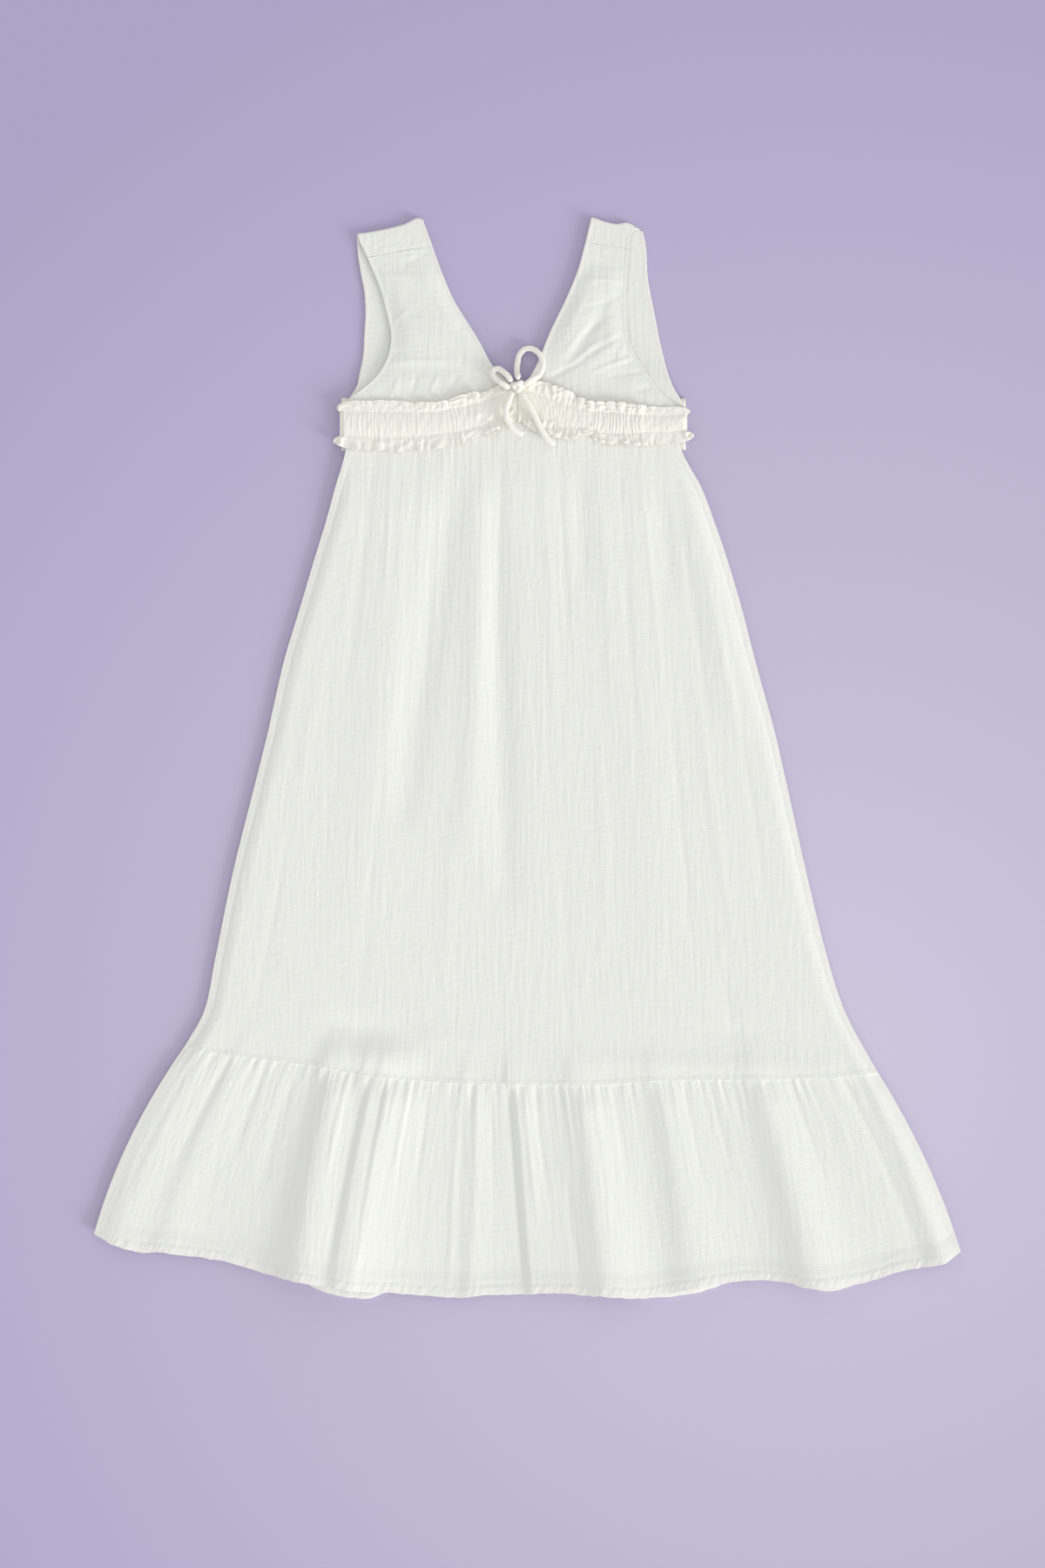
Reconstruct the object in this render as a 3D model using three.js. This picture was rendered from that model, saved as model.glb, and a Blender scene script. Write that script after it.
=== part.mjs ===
// A girl's sleeveless dress in white double-gauze muslin, laid flat on its back with the neck towards +Y.
// The front and back lie on each other: two bodice halves a side with wide shoulder straps, a shirred
// waistband with ruffled edges tied by a drawstring bow, an A-line skirt, and a gathered flounce at the hem.
// Millimetres, +Z up. The origin is the middle of the dress, on the surface that it lies on.

import * as THREE from "three";

// Cloth and making
const CLOTH = 1.4; // wall of crinkled double gauze
const FLOUNCE_CLOTH = 1.8; // measured upright, so that it stays over 1 mm on the slope of a gather
const HEM_CLOTH = 2.6; // the hem is turned twice
const HEM_FROM = 0.955; // over this share of the flounce's depth, about 8 mm of it
const SEAM_GAP = 0.3;
const LAYER_GAP = 0.6; // between the back layer and the front layer
const BACK_INSET = 1.5; // the front panels reach this much further out at the sides than the back ones

// The waist, where four layers lie on each other
const BACK_BAND_CLOTH = 1.6;
const BACK_BAND_LIFT = BACK_BAND_CLOTH + SEAM_GAP; // how much the back band lifts what lies on it
const WAIST_Y = 278;
const LIFT_FLAT = 30; // the lift is whole this near the waist, and gone at LIFT_END
const LIFT_END = 56;
const FRONT_BAND_Z = BACK_BAND_LIFT + CLOTH + LAYER_GAP + CLOTH + SEAM_GAP;
const CENTRE_X = -8; // where the two front halves meet under the bow
const WAIST_GAP = 0.8; // under the bands that join the bodice and the skirt

// Half the front waistband from the side to the bow, each way. casing is half the width between the two
// rows of stitching, and upper and lower are the widths of the ruffles outside them.
const BAND_LEFT = [
  { x: -156, mid: 278, casing: 10, upper: 9, lower: 11 },
  { x: -113, mid: 277.5, casing: 10.5, upper: 10, lower: 12 },
  { x: -76, mid: 278.5, casing: 9.5, upper: 8, lower: 12 },
  { x: -44, mid: 284.5, casing: 10, upper: 10, lower: 10 },
  { x: -26, mid: 292, casing: 9, upper: 9, lower: 13 },
  { x: -8.8, mid: 300, casing: 7, upper: 7, lower: 14 },
];
const BAND_RIGHT = [
  { x: -7.2, mid: 300, casing: 7, upper: 8, lower: 14 },
  { x: 14, mid: 292.5, casing: 8.5, upper: 12, lower: 15 },
  { x: 32, mid: 285, casing: 9, upper: 12, lower: 11 },
  { x: 50, mid: 281.5, casing: 7.5, upper: 8, lower: 8 },
  { x: 69, mid: 278.5, casing: 8.5, upper: 9, lower: 9 },
  { x: 98, mid: 278, casing: 7, upper: 8, lower: 11 },
  { x: 133, mid: 279, casing: 7, upper: 6, lower: 9 },
];
const BAND_RIBS = 30; // shirring ribs on half the band
const RUFFLE_WAVES = 14; // on each edge of half the band
const RIB_HEIGHT = 0.9;
const CASING_RISE = 1.6;
const RUFFLE_HEIGHT = 2.6;
const RUFFLE_SCALLOP = 1.3;
const RUFFLE_SHIFT = 1.3; // the upper ruffle's waves lie between the lower one's
const RUFFLE_DRIFT = 0.6; // and both wander by this, at this share of their own rate
const RUFFLE_DRIFT_RATE = 0.37;
const BAND_LEAN = 0.4; // how far the ribs lean square to the band where it rises to the bow
const BAND_END_CURL = 4; // the last stretch at the side turns down to the back
const BAND_END_DROP = 1.9;
const BAND_END_FLARE = 6; // and its lower ruffle spreads out
const BAND_FLARE_FROM = 14;
const BAND_PINCH = 3; // under the knot the band lies flat for this length
const BAND_PINCH_END = 11;
const BAND_UPRIGHT_END = 22; // and its end there is cut square to the waist, which leans from here on

// The seam that joins the bodice to the skirt, under the middle of the front band
const WAIST_SEAM = [
  { x: -160, y: 278 },
  { x: -113, y: 277.5 },
  { x: -76, y: 278.5 },
  { x: -44, y: 284.5 },
  { x: -26, y: 291 },
  { x: -8, y: 297 },
  { x: 14, y: 292 },
  { x: 32, y: 285 },
  { x: 50, y: 281.5 },
  { x: 69, y: 279 },
  { x: 140, y: 278 },
];

// The skirt's side edges
const SKIRT = [
  { y: 300, left: -150.5, right: 127.5 },
  { y: 279, left: -150.5, right: 127.5 },
  { y: 257, left: -151, right: 128 },
  { y: 225, left: -160, right: 145 },
  { y: 196, left: -168, right: 156 },
  { y: 167, left: -177, right: 166 },
  { y: 123, left: -190, right: 179 },
  { y: 80, left: -203, right: 190 },
  { y: 22, left: -216, right: 206 },
  { y: -22, left: -227, right: 216 },
  { y: -94, left: -245, right: 232 },
  { y: -167, left: -260, right: 250 },
  { y: -210, left: -269, right: 264 },
  { y: -239, left: -285, right: 279 },
  { y: -270, left: -304, right: 297 },
];

// The seam that joins the flounce to the skirt
const FLOUNCE_SEAM = [
  { x: -300, y: -237 },
  { x: -285, y: -239 },
  { x: -258, y: -244 },
  { x: -192, y: -252 },
  { x: -160, y: -256 },
  { x: -127, y: -262 },
  { x: -69, y: -268 },
  { x: -4, y: -270 },
  { x: 69, y: -270 },
  { x: 112, y: -267 },
  { x: 243, y: -265 },
  { x: 291, y: -261 },
  { x: 310, y: -259 },
];

// Where each thread that starts at the seam reaches the hem, and how far it bows outwards on the way
const FLOUNCE_GRAIN = [
  { seam: -285, hem: -360.5, bow: 0.45 },
  { seam: -249, hem: -322, bow: 0.35 },
  { seam: -189, hem: -236, bow: 0.25 },
  { seam: -160, hem: -194, bow: 0.3 },
  { seam: -127, hem: -160, bow: 0.3 },
  { seam: -84, hem: -110, bow: 0.2 },
  { seam: -16, hem: -5, bow: 0 },
  { seam: 36, hem: 58, bow: 0.1 },
  { seam: 101, hem: 130, bow: 0.3 },
  { seam: 141, hem: 174, bow: 0.3 },
  { seam: 192, hem: 240, bow: 0.2 },
  { seam: 275, hem: 341, bow: 0.3 },
  { seam: 291, hem: 360.5, bow: 0.35 },
];

// The hem of the front, and how far the back's hem shows below it
const HEM = [
  { x: -361, y: -395, back: -3 },
  { x: -345, y: -405, back: -3 },
  { x: -323, y: -410, back: -3 },
  { x: -294, y: -412, back: -3 },
  { x: -250, y: -419, back: -3 },
  { x: -221, y: -427, back: -3 },
  { x: -194, y: -434, back: -2 },
  { x: -171, y: -438, back: 6 },
  { x: -149, y: -442, back: 7 },
  { x: -128, y: -444, back: 5 },
  { x: -112, y: -444, back: -3 },
  { x: -76, y: -447, back: -3 },
  { x: -55, y: -448, back: -3 },
  { x: -4, y: -445, back: -3 },
  { x: 60, y: -446, back: -3 },
  { x: 94, y: -448, back: 1.5 },
  { x: 127, y: -443, back: 4 },
  { x: 156, y: -437, back: 4 },
  { x: 174, y: -434.5, back: -3 },
  { x: 192, y: -434, back: -3 },
  { x: 214, y: -436, back: -3 },
  { x: 236, y: -440, back: 2 },
  { x: 262, y: -438, back: 4 },
  { x: 286, y: -434, back: -2 },
  { x: 315, y: -425, back: -3 },
  { x: 348, y: -419, back: -3 },
  { x: 361, y: -410, back: -3 },
];

// The neckline, shared by the front and the back, and the two armholes of each side
const LEFT_NECK = [
  { y: 296, x: -8.5 },
  { y: 308, x: -12 },
  { y: 327, x: -29 },
  { y: 347, x: -40 },
  { y: 371, x: -55 },
  { y: 383, x: -62 },
  { y: 404, x: -71 },
  { y: 429, x: -80 },
  { y: 451, x: -88 },
];
const RIGHT_NECK = [
  { y: 296, x: -7.5 },
  { y: 308, x: -3 },
  { y: 328, x: 8 },
  { y: 355, x: 19 },
  { y: 382, x: 32 },
  { y: 406, x: 42 },
  { y: 428, x: 48 },
  { y: 451, x: 53.5 },
];
const LEFT_ARMHOLE = [
  { y: 278, front: -150.5, back: -151 },
  { y: 290, front: -150.5, back: -151 },
  { y: 298, front: -149, back: -149 },
  { y: 310, front: -134, back: -142 },
  { y: 320, front: -124, back: -140 },
  { y: 335, front: -116, back: -137 },
  { y: 352, front: -113.5, back: -136 },
  { y: 370, front: -117, back: -135 },
  { y: 389, front: -122, back: -136 },
  { y: 402, front: -127, back: -138.5 },
  { y: 418, front: -134, back: -141 },
  { y: 431, front: -140, back: -142 },
  { y: 440, front: -142, back: -142 },
];
const RIGHT_ARMHOLE = [
  { y: 278, front: 127.5, back: 131.5 },
  { y: 290, front: 127, back: 132 },
  { y: 300, front: 116, back: 127 },
  { y: 308, front: 108, back: 122 },
  { y: 318, front: 101, back: 118 },
  { y: 334, front: 91, back: 113.5 },
  { y: 349, front: 84.5, back: 110 },
  { y: 370, front: 82, back: 106 },
  { y: 399, front: 83, back: 100.5 },
  { y: 424, front: 85, back: 99 },
  { y: 435, front: 86, back: 97 },
  { y: 444, front: 93, back: 95 },
];

// The fold at the top of each strap, where the back half turns over to the front, and the shoulder seam
const LEFT_FOLD = [
  { u: 0, y: 437 },
  { u: 0.2, y: 438.5 },
  { u: 0.5, y: 442 },
  { u: 0.7, y: 445 },
  { u: 0.92, y: 450 },
  { u: 1, y: 448 },
];
const RIGHT_FOLD = [
  { u: 0, y: 441 },
  { u: 0.25, y: 446 },
  { u: 0.45, y: 445 },
  { u: 0.7, y: 447 },
  { u: 0.95, y: 450.4 },
  { u: 1, y: 450 },
];
const LEFT_SHOULDER = { outer: 417, inner: 427 };
const RIGHT_SHOULDER = { outer: 424, inner: 430 };
const FOLD_INSIDE = 0.5; // inner radius of the fold
const FOLD_STEPS = 5;
const BACK_COLUMNS = 8;
const CUP_COLUMNS = 13;

// Soft folds: each runs from one end to the other, is wide across it, and rises or, below zero, sinks
const SKIRT_FOLDS = [
  { x1: -33, y1: 262, x2: -50, y2: -70, wide: 11, rise: 1.5 },
  { x1: -62, y1: 232, x2: -104, y2: -40, wide: 14, rise: -2.4 },
  { x1: -29, y1: 262, x2: -18, y2: -110, wide: 11, rise: -2 },
  { x1: 43, y1: 250, x2: 46, y2: 150, wide: 7, rise: -1 },
  { x1: 108, y1: 250, x2: 118, y2: 140, wide: 9, rise: -1.1 },
  { x1: 140, y1: 190, x2: 172, y2: 30, wide: 12, rise: 1.2 },
  { x1: -100, y1: 230, x2: -140, y2: -120, wide: 24, rise: 1.2 },
  { x1: 80, y1: 200, x2: 110, y2: -160, wide: 22, rise: 0.9 },
  { x1: -150, y1: -246, x2: -100, y2: -252, wide: 12, rise: 2.8 },
  { x1: -160, y1: -222, x2: -96, y2: -230, wide: 10, rise: -1.5 },
  { x1: 60, y1: -252, x2: 250, y2: -258, wide: 9, rise: 0.9 },
];
const LEFT_CUP_FOLDS = [
  { x1: -122, y1: 309, x2: -60, y2: 311, wide: 8, rise: 4.6 },
  { x1: -112, y1: 322, x2: -40, y2: 322, wide: 5, rise: -2.4 },
  { x1: -88, y1: 340, x2: -78, y2: 372, wide: 26, rise: 2.2 },
];
const RIGHT_CUP_FOLDS = [
  { x1: 28, y1: 318, x2: 66, y2: 378, wide: 5, rise: -2.2 },
  { x1: 40, y1: 314, x2: 76, y2: 352, wide: 8, rise: 3 },
  { x1: 62, y1: 311, x2: 92, y2: 332, wide: 5, rise: -1.8 },
  { x1: 84, y1: 309, x2: 104, y2: 314, wide: 7, rise: 2.6 },
  { x1: 30, y1: 345, x2: 52, y2: 385, wide: 12, rise: 1.6 },
];
const SKIRT_PUFF = 2.4;
const CUP_PUFF = 1.6;
const FOLD_ALONG = { least: 0.35, from: 0.1, to: 0.9 }; // a fold is lowest at its ends and highest midway
const EDGE_FADE = 16; // relief dies away this near a side edge
const WAIST_FADE = 27; // and starts this far from the waist seam
const WAIST_FADE_END = 44;
const CUP_FADE_FROM = 395; // the cups' relief is gone at STRAP_TO
const STRAP_FROM = 380; // the front comes down to the height of the strap from here
const STRAP_TO = 415;

// The flounce's large folds: where each crest starts at the seam, its half widths to the left and right
// and its height there (rise), and at the hem (crest)
const FLOUNCE_FOLDS = [
  { seam: -268, left: 14, right: 24, rise: 0.8, crest: 1.5 },
  { seam: -236, left: 12, right: 20, rise: 1, crest: 1.5 },
  { seam: -128, left: 50, right: 26, rise: 2.4, crest: 6.5 },
  { seam: -159, left: 18, right: 24, rise: 4, crest: 6.5 },
  { seam: -126, left: 8, right: 12, rise: 2, crest: 2.6 },
  { seam: -112, left: 12, right: 36, rise: 4.4, crest: 4.8 },
  { seam: -44, left: 8, right: 14, rise: 1.4, crest: 1.6 },
  { seam: -9, left: 6, right: 34, rise: 2.8, crest: 2.6 },
  { seam: 43, left: 35, right: 34, rise: 3, crest: 6.4 },
  { seam: 43, left: 11, right: 32, rise: 1.6, crest: 2.6 },
  { seam: 109, left: 17, right: 30, rise: 2.6, crest: 4.4 },
  { seam: 192, left: 22, right: 29, rise: 3.8, crest: 8 },
  { seam: 281, left: 13, right: 12, rise: 2, crest: 4 },
];
const FLOUNCE_GATHERS = 56;
const GATHER_HEIGHT = 1.7;
const GATHER_REACH = 0.34; // share of the flounce's depth over which the gathers die away
const GATHER_RISE_SHARE = 0.04; // they rise from the seam over this share
const GATHER_UNEVEN = [
  { cycles: 23, drift: 0.35 },
  { cycles: 57, drift: 0.25 },
];
const SEAM_WIDTH_SHARE = 0.55; // a large fold is this much of its hem width at the seam
const SIDE_SHARE = 0.03; // the folds die away over this share of the seam at each side
const SKIRT_CARRY = 0.6; // share of the skirt's own relief that the flounce carries on
const SKIRT_CARRY_INSET = 0.99; // taken a little inside the skirt's edges

// The drawstring bow: a sewn cord with two loops and two tails about one knot. out is the direction in
// plan, in degrees from +X, in which an end leaves the knot.
const CORD = 4;
const CORD_SIDES = 8;
const CORD_STEP = 1.6; // diameters between the rings of a cord
const KNOT_SIDES = 12;
const KNOT_RINGS = 8;
const KNOT = { x: -8.4, y: 308.5, z: 11.4, wide: 5.6, deep: 5.6, high: 4 };
const KNOT_RISE = 0.15; // an end leaves the knot a little upwards
const KNOT_STUB = 2.4; // and runs straight out for this length
const LOOP_RIGHT = [
  { out: 16 },
  { x: 3, y: 313.5, z: 12.6 },
  { x: 9.4, y: 317.6, z: 10.4 },
  { x: 12.6, y: 325, z: 8.6 },
  { x: 11.6, y: 333, z: 7 },
  { x: 6.6, y: 339.4, z: 5.2 },
  { x: 0, y: 341, z: 3.8 },
  { x: -5.6, y: 337, z: 3.6 },
  { x: -8.4, y: 328, z: 5.4 },
  { x: -8.4, y: 320, z: 9 },
  { out: 86 },
];
const LOOP_LEFT = [
  { out: 135 },
  { x: -16.2, y: 317, z: 12.2 },
  { x: -19.8, y: 320.6, z: 10.8 },
  { x: -24.2, y: 323.6, z: 9 },
  { x: -28.2, y: 322.2, z: 8.6 },
  { x: -28.6, y: 318, z: 9.8 },
  { x: -25, y: 314, z: 11.2 },
  { x: -20.8, y: 310.8, z: 12.8 },
  { out: 181 },
];
const TAIL_RIGHT = [
  { out: 300 },
  { x: -1.6, y: 297.6, z: 13 },
  { x: 2.6, y: 290.6, z: 13.2 },
  { x: 6.4, y: 283.6, z: 13 },
  { x: 9.6, y: 276.6, z: 12.6 },
  { x: 13.4, y: 269.8, z: 12.4 },
  { x: 18, y: 263.8, z: 11.6 },
  { x: 23, y: 260.6, z: 11 },
];
const TAIL_LEFT = [
  { out: 236 },
  { x: -15.4, y: 297, z: 12.8 },
  { x: -17.6, y: 289.6, z: 13 },
  { x: -17.2, y: 282.4, z: 13 },
  { x: -13.8, y: 275.6, z: 12.6 },
  { x: -8.4, y: 271, z: 12 },
  { x: -3, y: 268.6, z: 11.4 },
];

// Colours
const WHITE_CLOTH = 0xebece4;
const INSIDE_CLOTH = 0xe4e6df;
const BAND_CLOTH = 0xeeebe0;
const CORD_CLOTH = 0xeeebdf;

// Smooth value of a column of a table at a place along another column: a cubic through the rows
function smooth(table, key, column, at) {
  const last = table.length - 1;
  let i = 0;
  while (i < last - 1 && at > table[i + 1][key]) i++;
  const slope = (k) => {
    const a = table[Math.max(k - 1, 0)];
    const b = table[Math.min(k + 1, last)];
    return (b[column] - a[column]) / (b[key] - a[key]);
  };
  const span = table[i + 1][key] - table[i][key];
  const t = THREE.MathUtils.clamp((at - table[i][key]) / span, 0, 1);
  const low = table[i][column];
  const high = table[i + 1][column];
  const rise = 3 * t * t - 2 * t * t * t;
  const start = t * (1 - t) * (1 - t) * span * slope(i);
  const end = t * t * (t - 1) * span * slope(i + 1);
  return low + (high - low) * rise + start + end;
}

const ascending = (table, key) => [...table].sort((a, b) => a[key] - b[key]);
const step = (edge0, edge1, x) => THREE.MathUtils.smoothstep(x, edge0, edge1);
const lerp = THREE.MathUtils.lerp;
const bell = (distance, width) => Math.exp(-((distance / width) ** 2));

// A closed wall between two grids of points, each called with a column and a row
function wallGeometry(columns, rows, outer, inner) {
  const positions = [];
  for (const face of [outer, inner]) {
    for (let j = 0; j < rows; j++) {
      for (let i = 0; i < columns; i++) positions.push(...face(i, j));
    }
  }
  const at = (i, j, face) => face * columns * rows + j * columns + i;
  const faces = [];
  const quad = (a, b, c, d) => faces.push(a, b, c, a, c, d);
  for (let j = 0; j < rows - 1; j++) {
    for (let i = 0; i < columns - 1; i++) {
      quad(at(i, j, 0), at(i + 1, j, 0), at(i + 1, j + 1, 0), at(i, j + 1, 0));
      quad(at(i, j, 1), at(i, j + 1, 1), at(i + 1, j + 1, 1), at(i + 1, j, 1));
    }
  }
  for (let i = 0; i < columns - 1; i++) {
    const j = rows - 1;
    quad(at(i, 0, 0), at(i, 0, 1), at(i + 1, 0, 1), at(i + 1, 0, 0));
    quad(at(i, j, 0), at(i + 1, j, 0), at(i + 1, j, 1), at(i, j, 1));
  }
  for (let j = 0; j < rows - 1; j++) {
    const i = columns - 1;
    quad(at(0, j, 0), at(0, j + 1, 0), at(0, j + 1, 1), at(0, j, 1));
    quad(at(i, j, 0), at(i, j, 1), at(i, j + 1, 1), at(i, j + 1, 0));
  }
  return facingOut(positions, faces);
}

// The geometry of a closed set of faces, turned round if its faces point in
function facingOut(positions, faces) {
  const corner = (k) => new THREE.Vector3().fromArray(positions, 3 * k);
  let volume = 0;
  for (let f = 0; f < faces.length; f += 3) {
    const [a, b, c] = [corner(faces[f]), corner(faces[f + 1]), corner(faces[f + 2])];
    volume += a.dot(b.cross(c));
  }
  if (volume < 0) faces.reverse();
  const geometry = new THREE.BufferGeometry();
  geometry.setAttribute("position", new THREE.Float32BufferAttribute(positions, 3));
  geometry.setIndex(faces);
  geometry.computeVertexNormals();
  return geometry;
}

// Relief of a list of soft folds at a place in plan
function foldRelief(folds, x, y) {
  let sum = 0;
  for (const fold of folds) {
    const dx = fold.x2 - fold.x1;
    const dy = fold.y2 - fold.y1;
    const t = ((x - fold.x1) * dx + (y - fold.y1) * dy) / (dx * dx + dy * dy);
    const near = THREE.MathUtils.clamp(t, 0, 1);
    const away = Math.hypot(x - fold.x1 - near * dx, y - fold.y1 - near * dy);
    const middle = Math.sin(Math.PI * lerp(FOLD_ALONG.from, FOLD_ALONG.to, near));
    const fade = lerp(middle, 1, FOLD_ALONG.least);
    sum += fold.rise * fade * bell(away, fold.wide);
  }
  return sum;
}

// Height of the back layer's outer, lower face: flat on the surface, but over the back band
const backLift = (y) => BACK_BAND_LIFT * (1 - step(LIFT_FLAT, LIFT_END, Math.abs(y - WAIST_Y)));
const frontBase = (y) => backLift(y) + CLOTH + LAYER_GAP;

const waistSeam = (x) => smooth(WAIST_SEAM, "x", "y", x);
const flounceSeam = (x) => smooth(FLOUNCE_SEAM, "x", "y", x);
const SEAM_LEFT = FLOUNCE_GRAIN[0].seam;
const SEAM_RIGHT = FLOUNCE_GRAIN[FLOUNCE_GRAIN.length - 1].seam;
const skirtRows = ascending(SKIRT, "y");
const skirtLeft = (y) => smooth(skirtRows, "y", "left", y);
const skirtRight = (y) => smooth(skirtRows, "y", "right", y);
const fromWaist = (x, y) => step(WAIST_FADE, WAIST_FADE_END, Math.abs(y - waistSeam(x)));

function skirtRelief(x, y) {
  const side = Math.min(x - skirtLeft(y), skirtRight(y) - x);
  const fade = step(0, EDGE_FADE, side) * fromWaist(x, y);
  return Math.max(0, (SKIRT_PUFF + foldRelief(SKIRT_FOLDS, x, y)) * fade);
}

// The front and back layers of the skirt and flounce
const FRONT = { inset: 0, skirtColumns: 43, flounceColumns: 3 * FLOUNCE_GATHERS + 1 };
const BACK = { inset: BACK_INSET, skirtColumns: 15, flounceColumns: 43 };

// A point of the skirt in plan: u from the left edge to the right, v from the waist seam to the flounce
function skirtPlan(layer, u, v) {
  const topX = lerp(SKIRT[0].left, SKIRT[0].right, u);
  const top = (layer === FRONT ? waistSeam(topX) : WAIST_Y) - WAIST_GAP / 2;
  const bottomX = lerp(SEAM_LEFT, SEAM_RIGHT, u);
  const y = lerp(top, flounceSeam(bottomX) + SEAM_GAP / 2, v);
  return { x: lerp(skirtLeft(y) + layer.inset, skirtRight(y) - layer.inset, u), y };
}

function skirtPanel(layer, rows) {
  const columns = layer.skirtColumns;
  const place = (i, j, raise) => {
    const plan = skirtPlan(layer, i / (columns - 1), rows[j]);
    const floor =
      layer === FRONT ? frontBase(plan.y) + skirtRelief(plan.x, plan.y) : backLift(plan.y);
    return [plan.x, plan.y, floor + raise];
  };
  return wallGeometry(
    columns,
    rows.length,
    (i, j) => place(i, j, CLOTH),
    (i, j) => place(i, j, 0),
  );
}

const grain = (seam, column) => smooth(FLOUNCE_GRAIN, "seam", column, seam);

// The flounce's upper edge runs along the straight edges of the skirt's cells
function seamPoint(layer, u) {
  const cells = layer.skirtColumns - 1;
  const cell = Math.min(Math.floor(u * cells), cells - 1);
  const a = skirtPlan(layer, cell / cells, 1);
  const b = skirtPlan(layer, (cell + 1) / cells, 1);
  const t = u * cells - cell;
  return { x: lerp(a.x, b.x, t), y: lerp(a.y, b.y, t) - SEAM_GAP };
}

// How far across the flounce a thread is at a depth v, from 0 at the seam to 1 at the hem
const threadX = (seam, v) => lerp(seam, grain(seam, "hem"), v + grain(seam, "bow") * v * (1 - v));

// Large folds and gathers of the front flounce, above the back layer
function flounceRelief(seam, v) {
  const x = threadX(seam, v);
  let height = 0;
  for (const fold of FLOUNCE_FOLDS) {
    const away = x - threadX(fold.seam, v);
    const width = (away < 0 ? fold.left : fold.right) * lerp(SEAM_WIDTH_SHARE, 1, v);
    height += lerp(fold.rise, fold.crest, v) * bell(away, width);
  }
  const across = (seam - SEAM_LEFT) / (SEAM_RIGHT - SEAM_LEFT);
  let uneven = 0;
  for (const part of GATHER_UNEVEN) uneven += part.drift * Math.sin(part.cycles * across);
  const wave = 0.5 - 0.5 * Math.cos(2 * Math.PI * (across * FLOUNCE_GATHERS + uneven));
  const risen = step(0, GATHER_RISE_SHARE, v) * Math.exp(-v / GATHER_REACH);
  height += GATHER_HEIGHT * wave * risen;
  return height * step(0, SIDE_SHARE, Math.min(across, 1 - across)) + skirtEdgeLift(seam);
}

// What the skirt's relief is at the seam, which the flounce carries on from
const skirtEdgeLift = (seam) =>
  SKIRT_CARRY * skirtRelief(seam * SKIRT_CARRY_INSET, flounceSeam(seam));

function flouncePlan(layer, u, v) {
  const seam = seamPoint(layer, u);
  const hemX = grain(seam.x, "hem");
  const hem = smooth(HEM, "x", "y", hemX) - (layer === BACK ? smooth(HEM, "x", "back", hemX) : 0);
  return { seam: seam.x, x: threadX(seam.x, v), y: lerp(seam.y, hem, v) };
}

function flouncePanel(layer, rows) {
  const columns = layer.flounceColumns;
  const place = (i, j, outer) => {
    const v = rows[j];
    const plan = flouncePlan(layer, i / (columns - 1), v);
    const turned = v >= HEM_FROM;
    const cloth = turned ? HEM_CLOTH : layer === FRONT ? FLOUNCE_CLOTH : CLOTH;
    const overHem = turned ? HEM_CLOTH - CLOTH : 0;
    const floor = layer === FRONT ? CLOTH + LAYER_GAP + overHem + flounceRelief(plan.seam, v) : 0;
    return [plan.x, plan.y, floor + (outer ? cloth : 0)];
  };
  return wallGeometry(
    columns,
    rows.length,
    (i, j) => place(i, j, true),
    (i, j) => place(i, j, false),
  );
}

// Half of the bodice: which tables and folds it follows, and which way its neckline lies
const LEFT = {
  neck: LEFT_NECK,
  armhole: LEFT_ARMHOLE,
  fold: LEFT_FOLD,
  shoulder: LEFT_SHOULDER,
  folds: LEFT_CUP_FOLDS,
  side: 1,
};
const RIGHT = {
  neck: RIGHT_NECK,
  armhole: RIGHT_ARMHOLE,
  fold: RIGHT_FOLD,
  shoulder: RIGHT_SHOULDER,
  folds: RIGHT_CUP_FOLDS,
  side: -1,
};

const neckX = (half, y) => smooth(half.neck, "y", "x", y);
const armholeX = (half, y, layer) => smooth(half.armhole, "y", layer, y);

// A point of a bodice half in plan: u from the armhole to the neckline, v from the waist to the shoulder
function bodicePlan(half, u, v, layer, topOuter, topInner) {
  const sideX = half.armhole[0][layer];
  const centreX = CENTRE_X - half.side * SEAM_GAP;
  const waistX = lerp(sideX, centreX, u);
  const bottom = (layer === "front" ? waistSeam(waistX) : WAIST_Y) + WAIST_GAP / 2;
  const y = lerp(bottom, lerp(topOuter, topInner, u), v);
  const outer = armholeX(half, y, layer);
  const inner = neckX(half, Math.max(y, half.neck[0].y));
  return { x: lerp(outer, inner, u), y };
}

function cupRelief(half, x, y) {
  const side = (x - armholeX(half, y, "front")) * half.side;
  const inner = (neckX(half, y) - x) * half.side;
  const edge = step(0, EDGE_FADE, Math.min(side, inner));
  const top = 1 - step(CUP_FADE_FROM, STRAP_TO, y);
  return Math.max(0, (CUP_PUFF + foldRelief(half.folds, x, y)) * edge * top * fromWaist(x, y));
}

// The strap's two layers lie this far apart at the fold, one cloth and the inside of the fold
const STRAP_FRONT_Z = CLOTH + 2 * FOLD_INSIDE;

function bodiceFront(half, columns, rows) {
  const place = (i, j, raise) => {
    const u = i / (columns - 1);
    const { outer, inner } = half.shoulder;
    const plan = bodicePlan(half, u, rows[j], "front", outer - SEAM_GAP, inner - SEAM_GAP);
    const strap = step(STRAP_FROM, STRAP_TO, plan.y);
    const floor = lerp(frontBase(plan.y), STRAP_FRONT_Z, strap) + cupRelief(half, plan.x, plan.y);
    return [plan.x, plan.y, floor + raise];
  };
  return wallGeometry(
    columns,
    rows.length,
    (i, j) => place(i, j, CLOTH),
    (i, j) => place(i, j, 0),
  );
}

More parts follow.
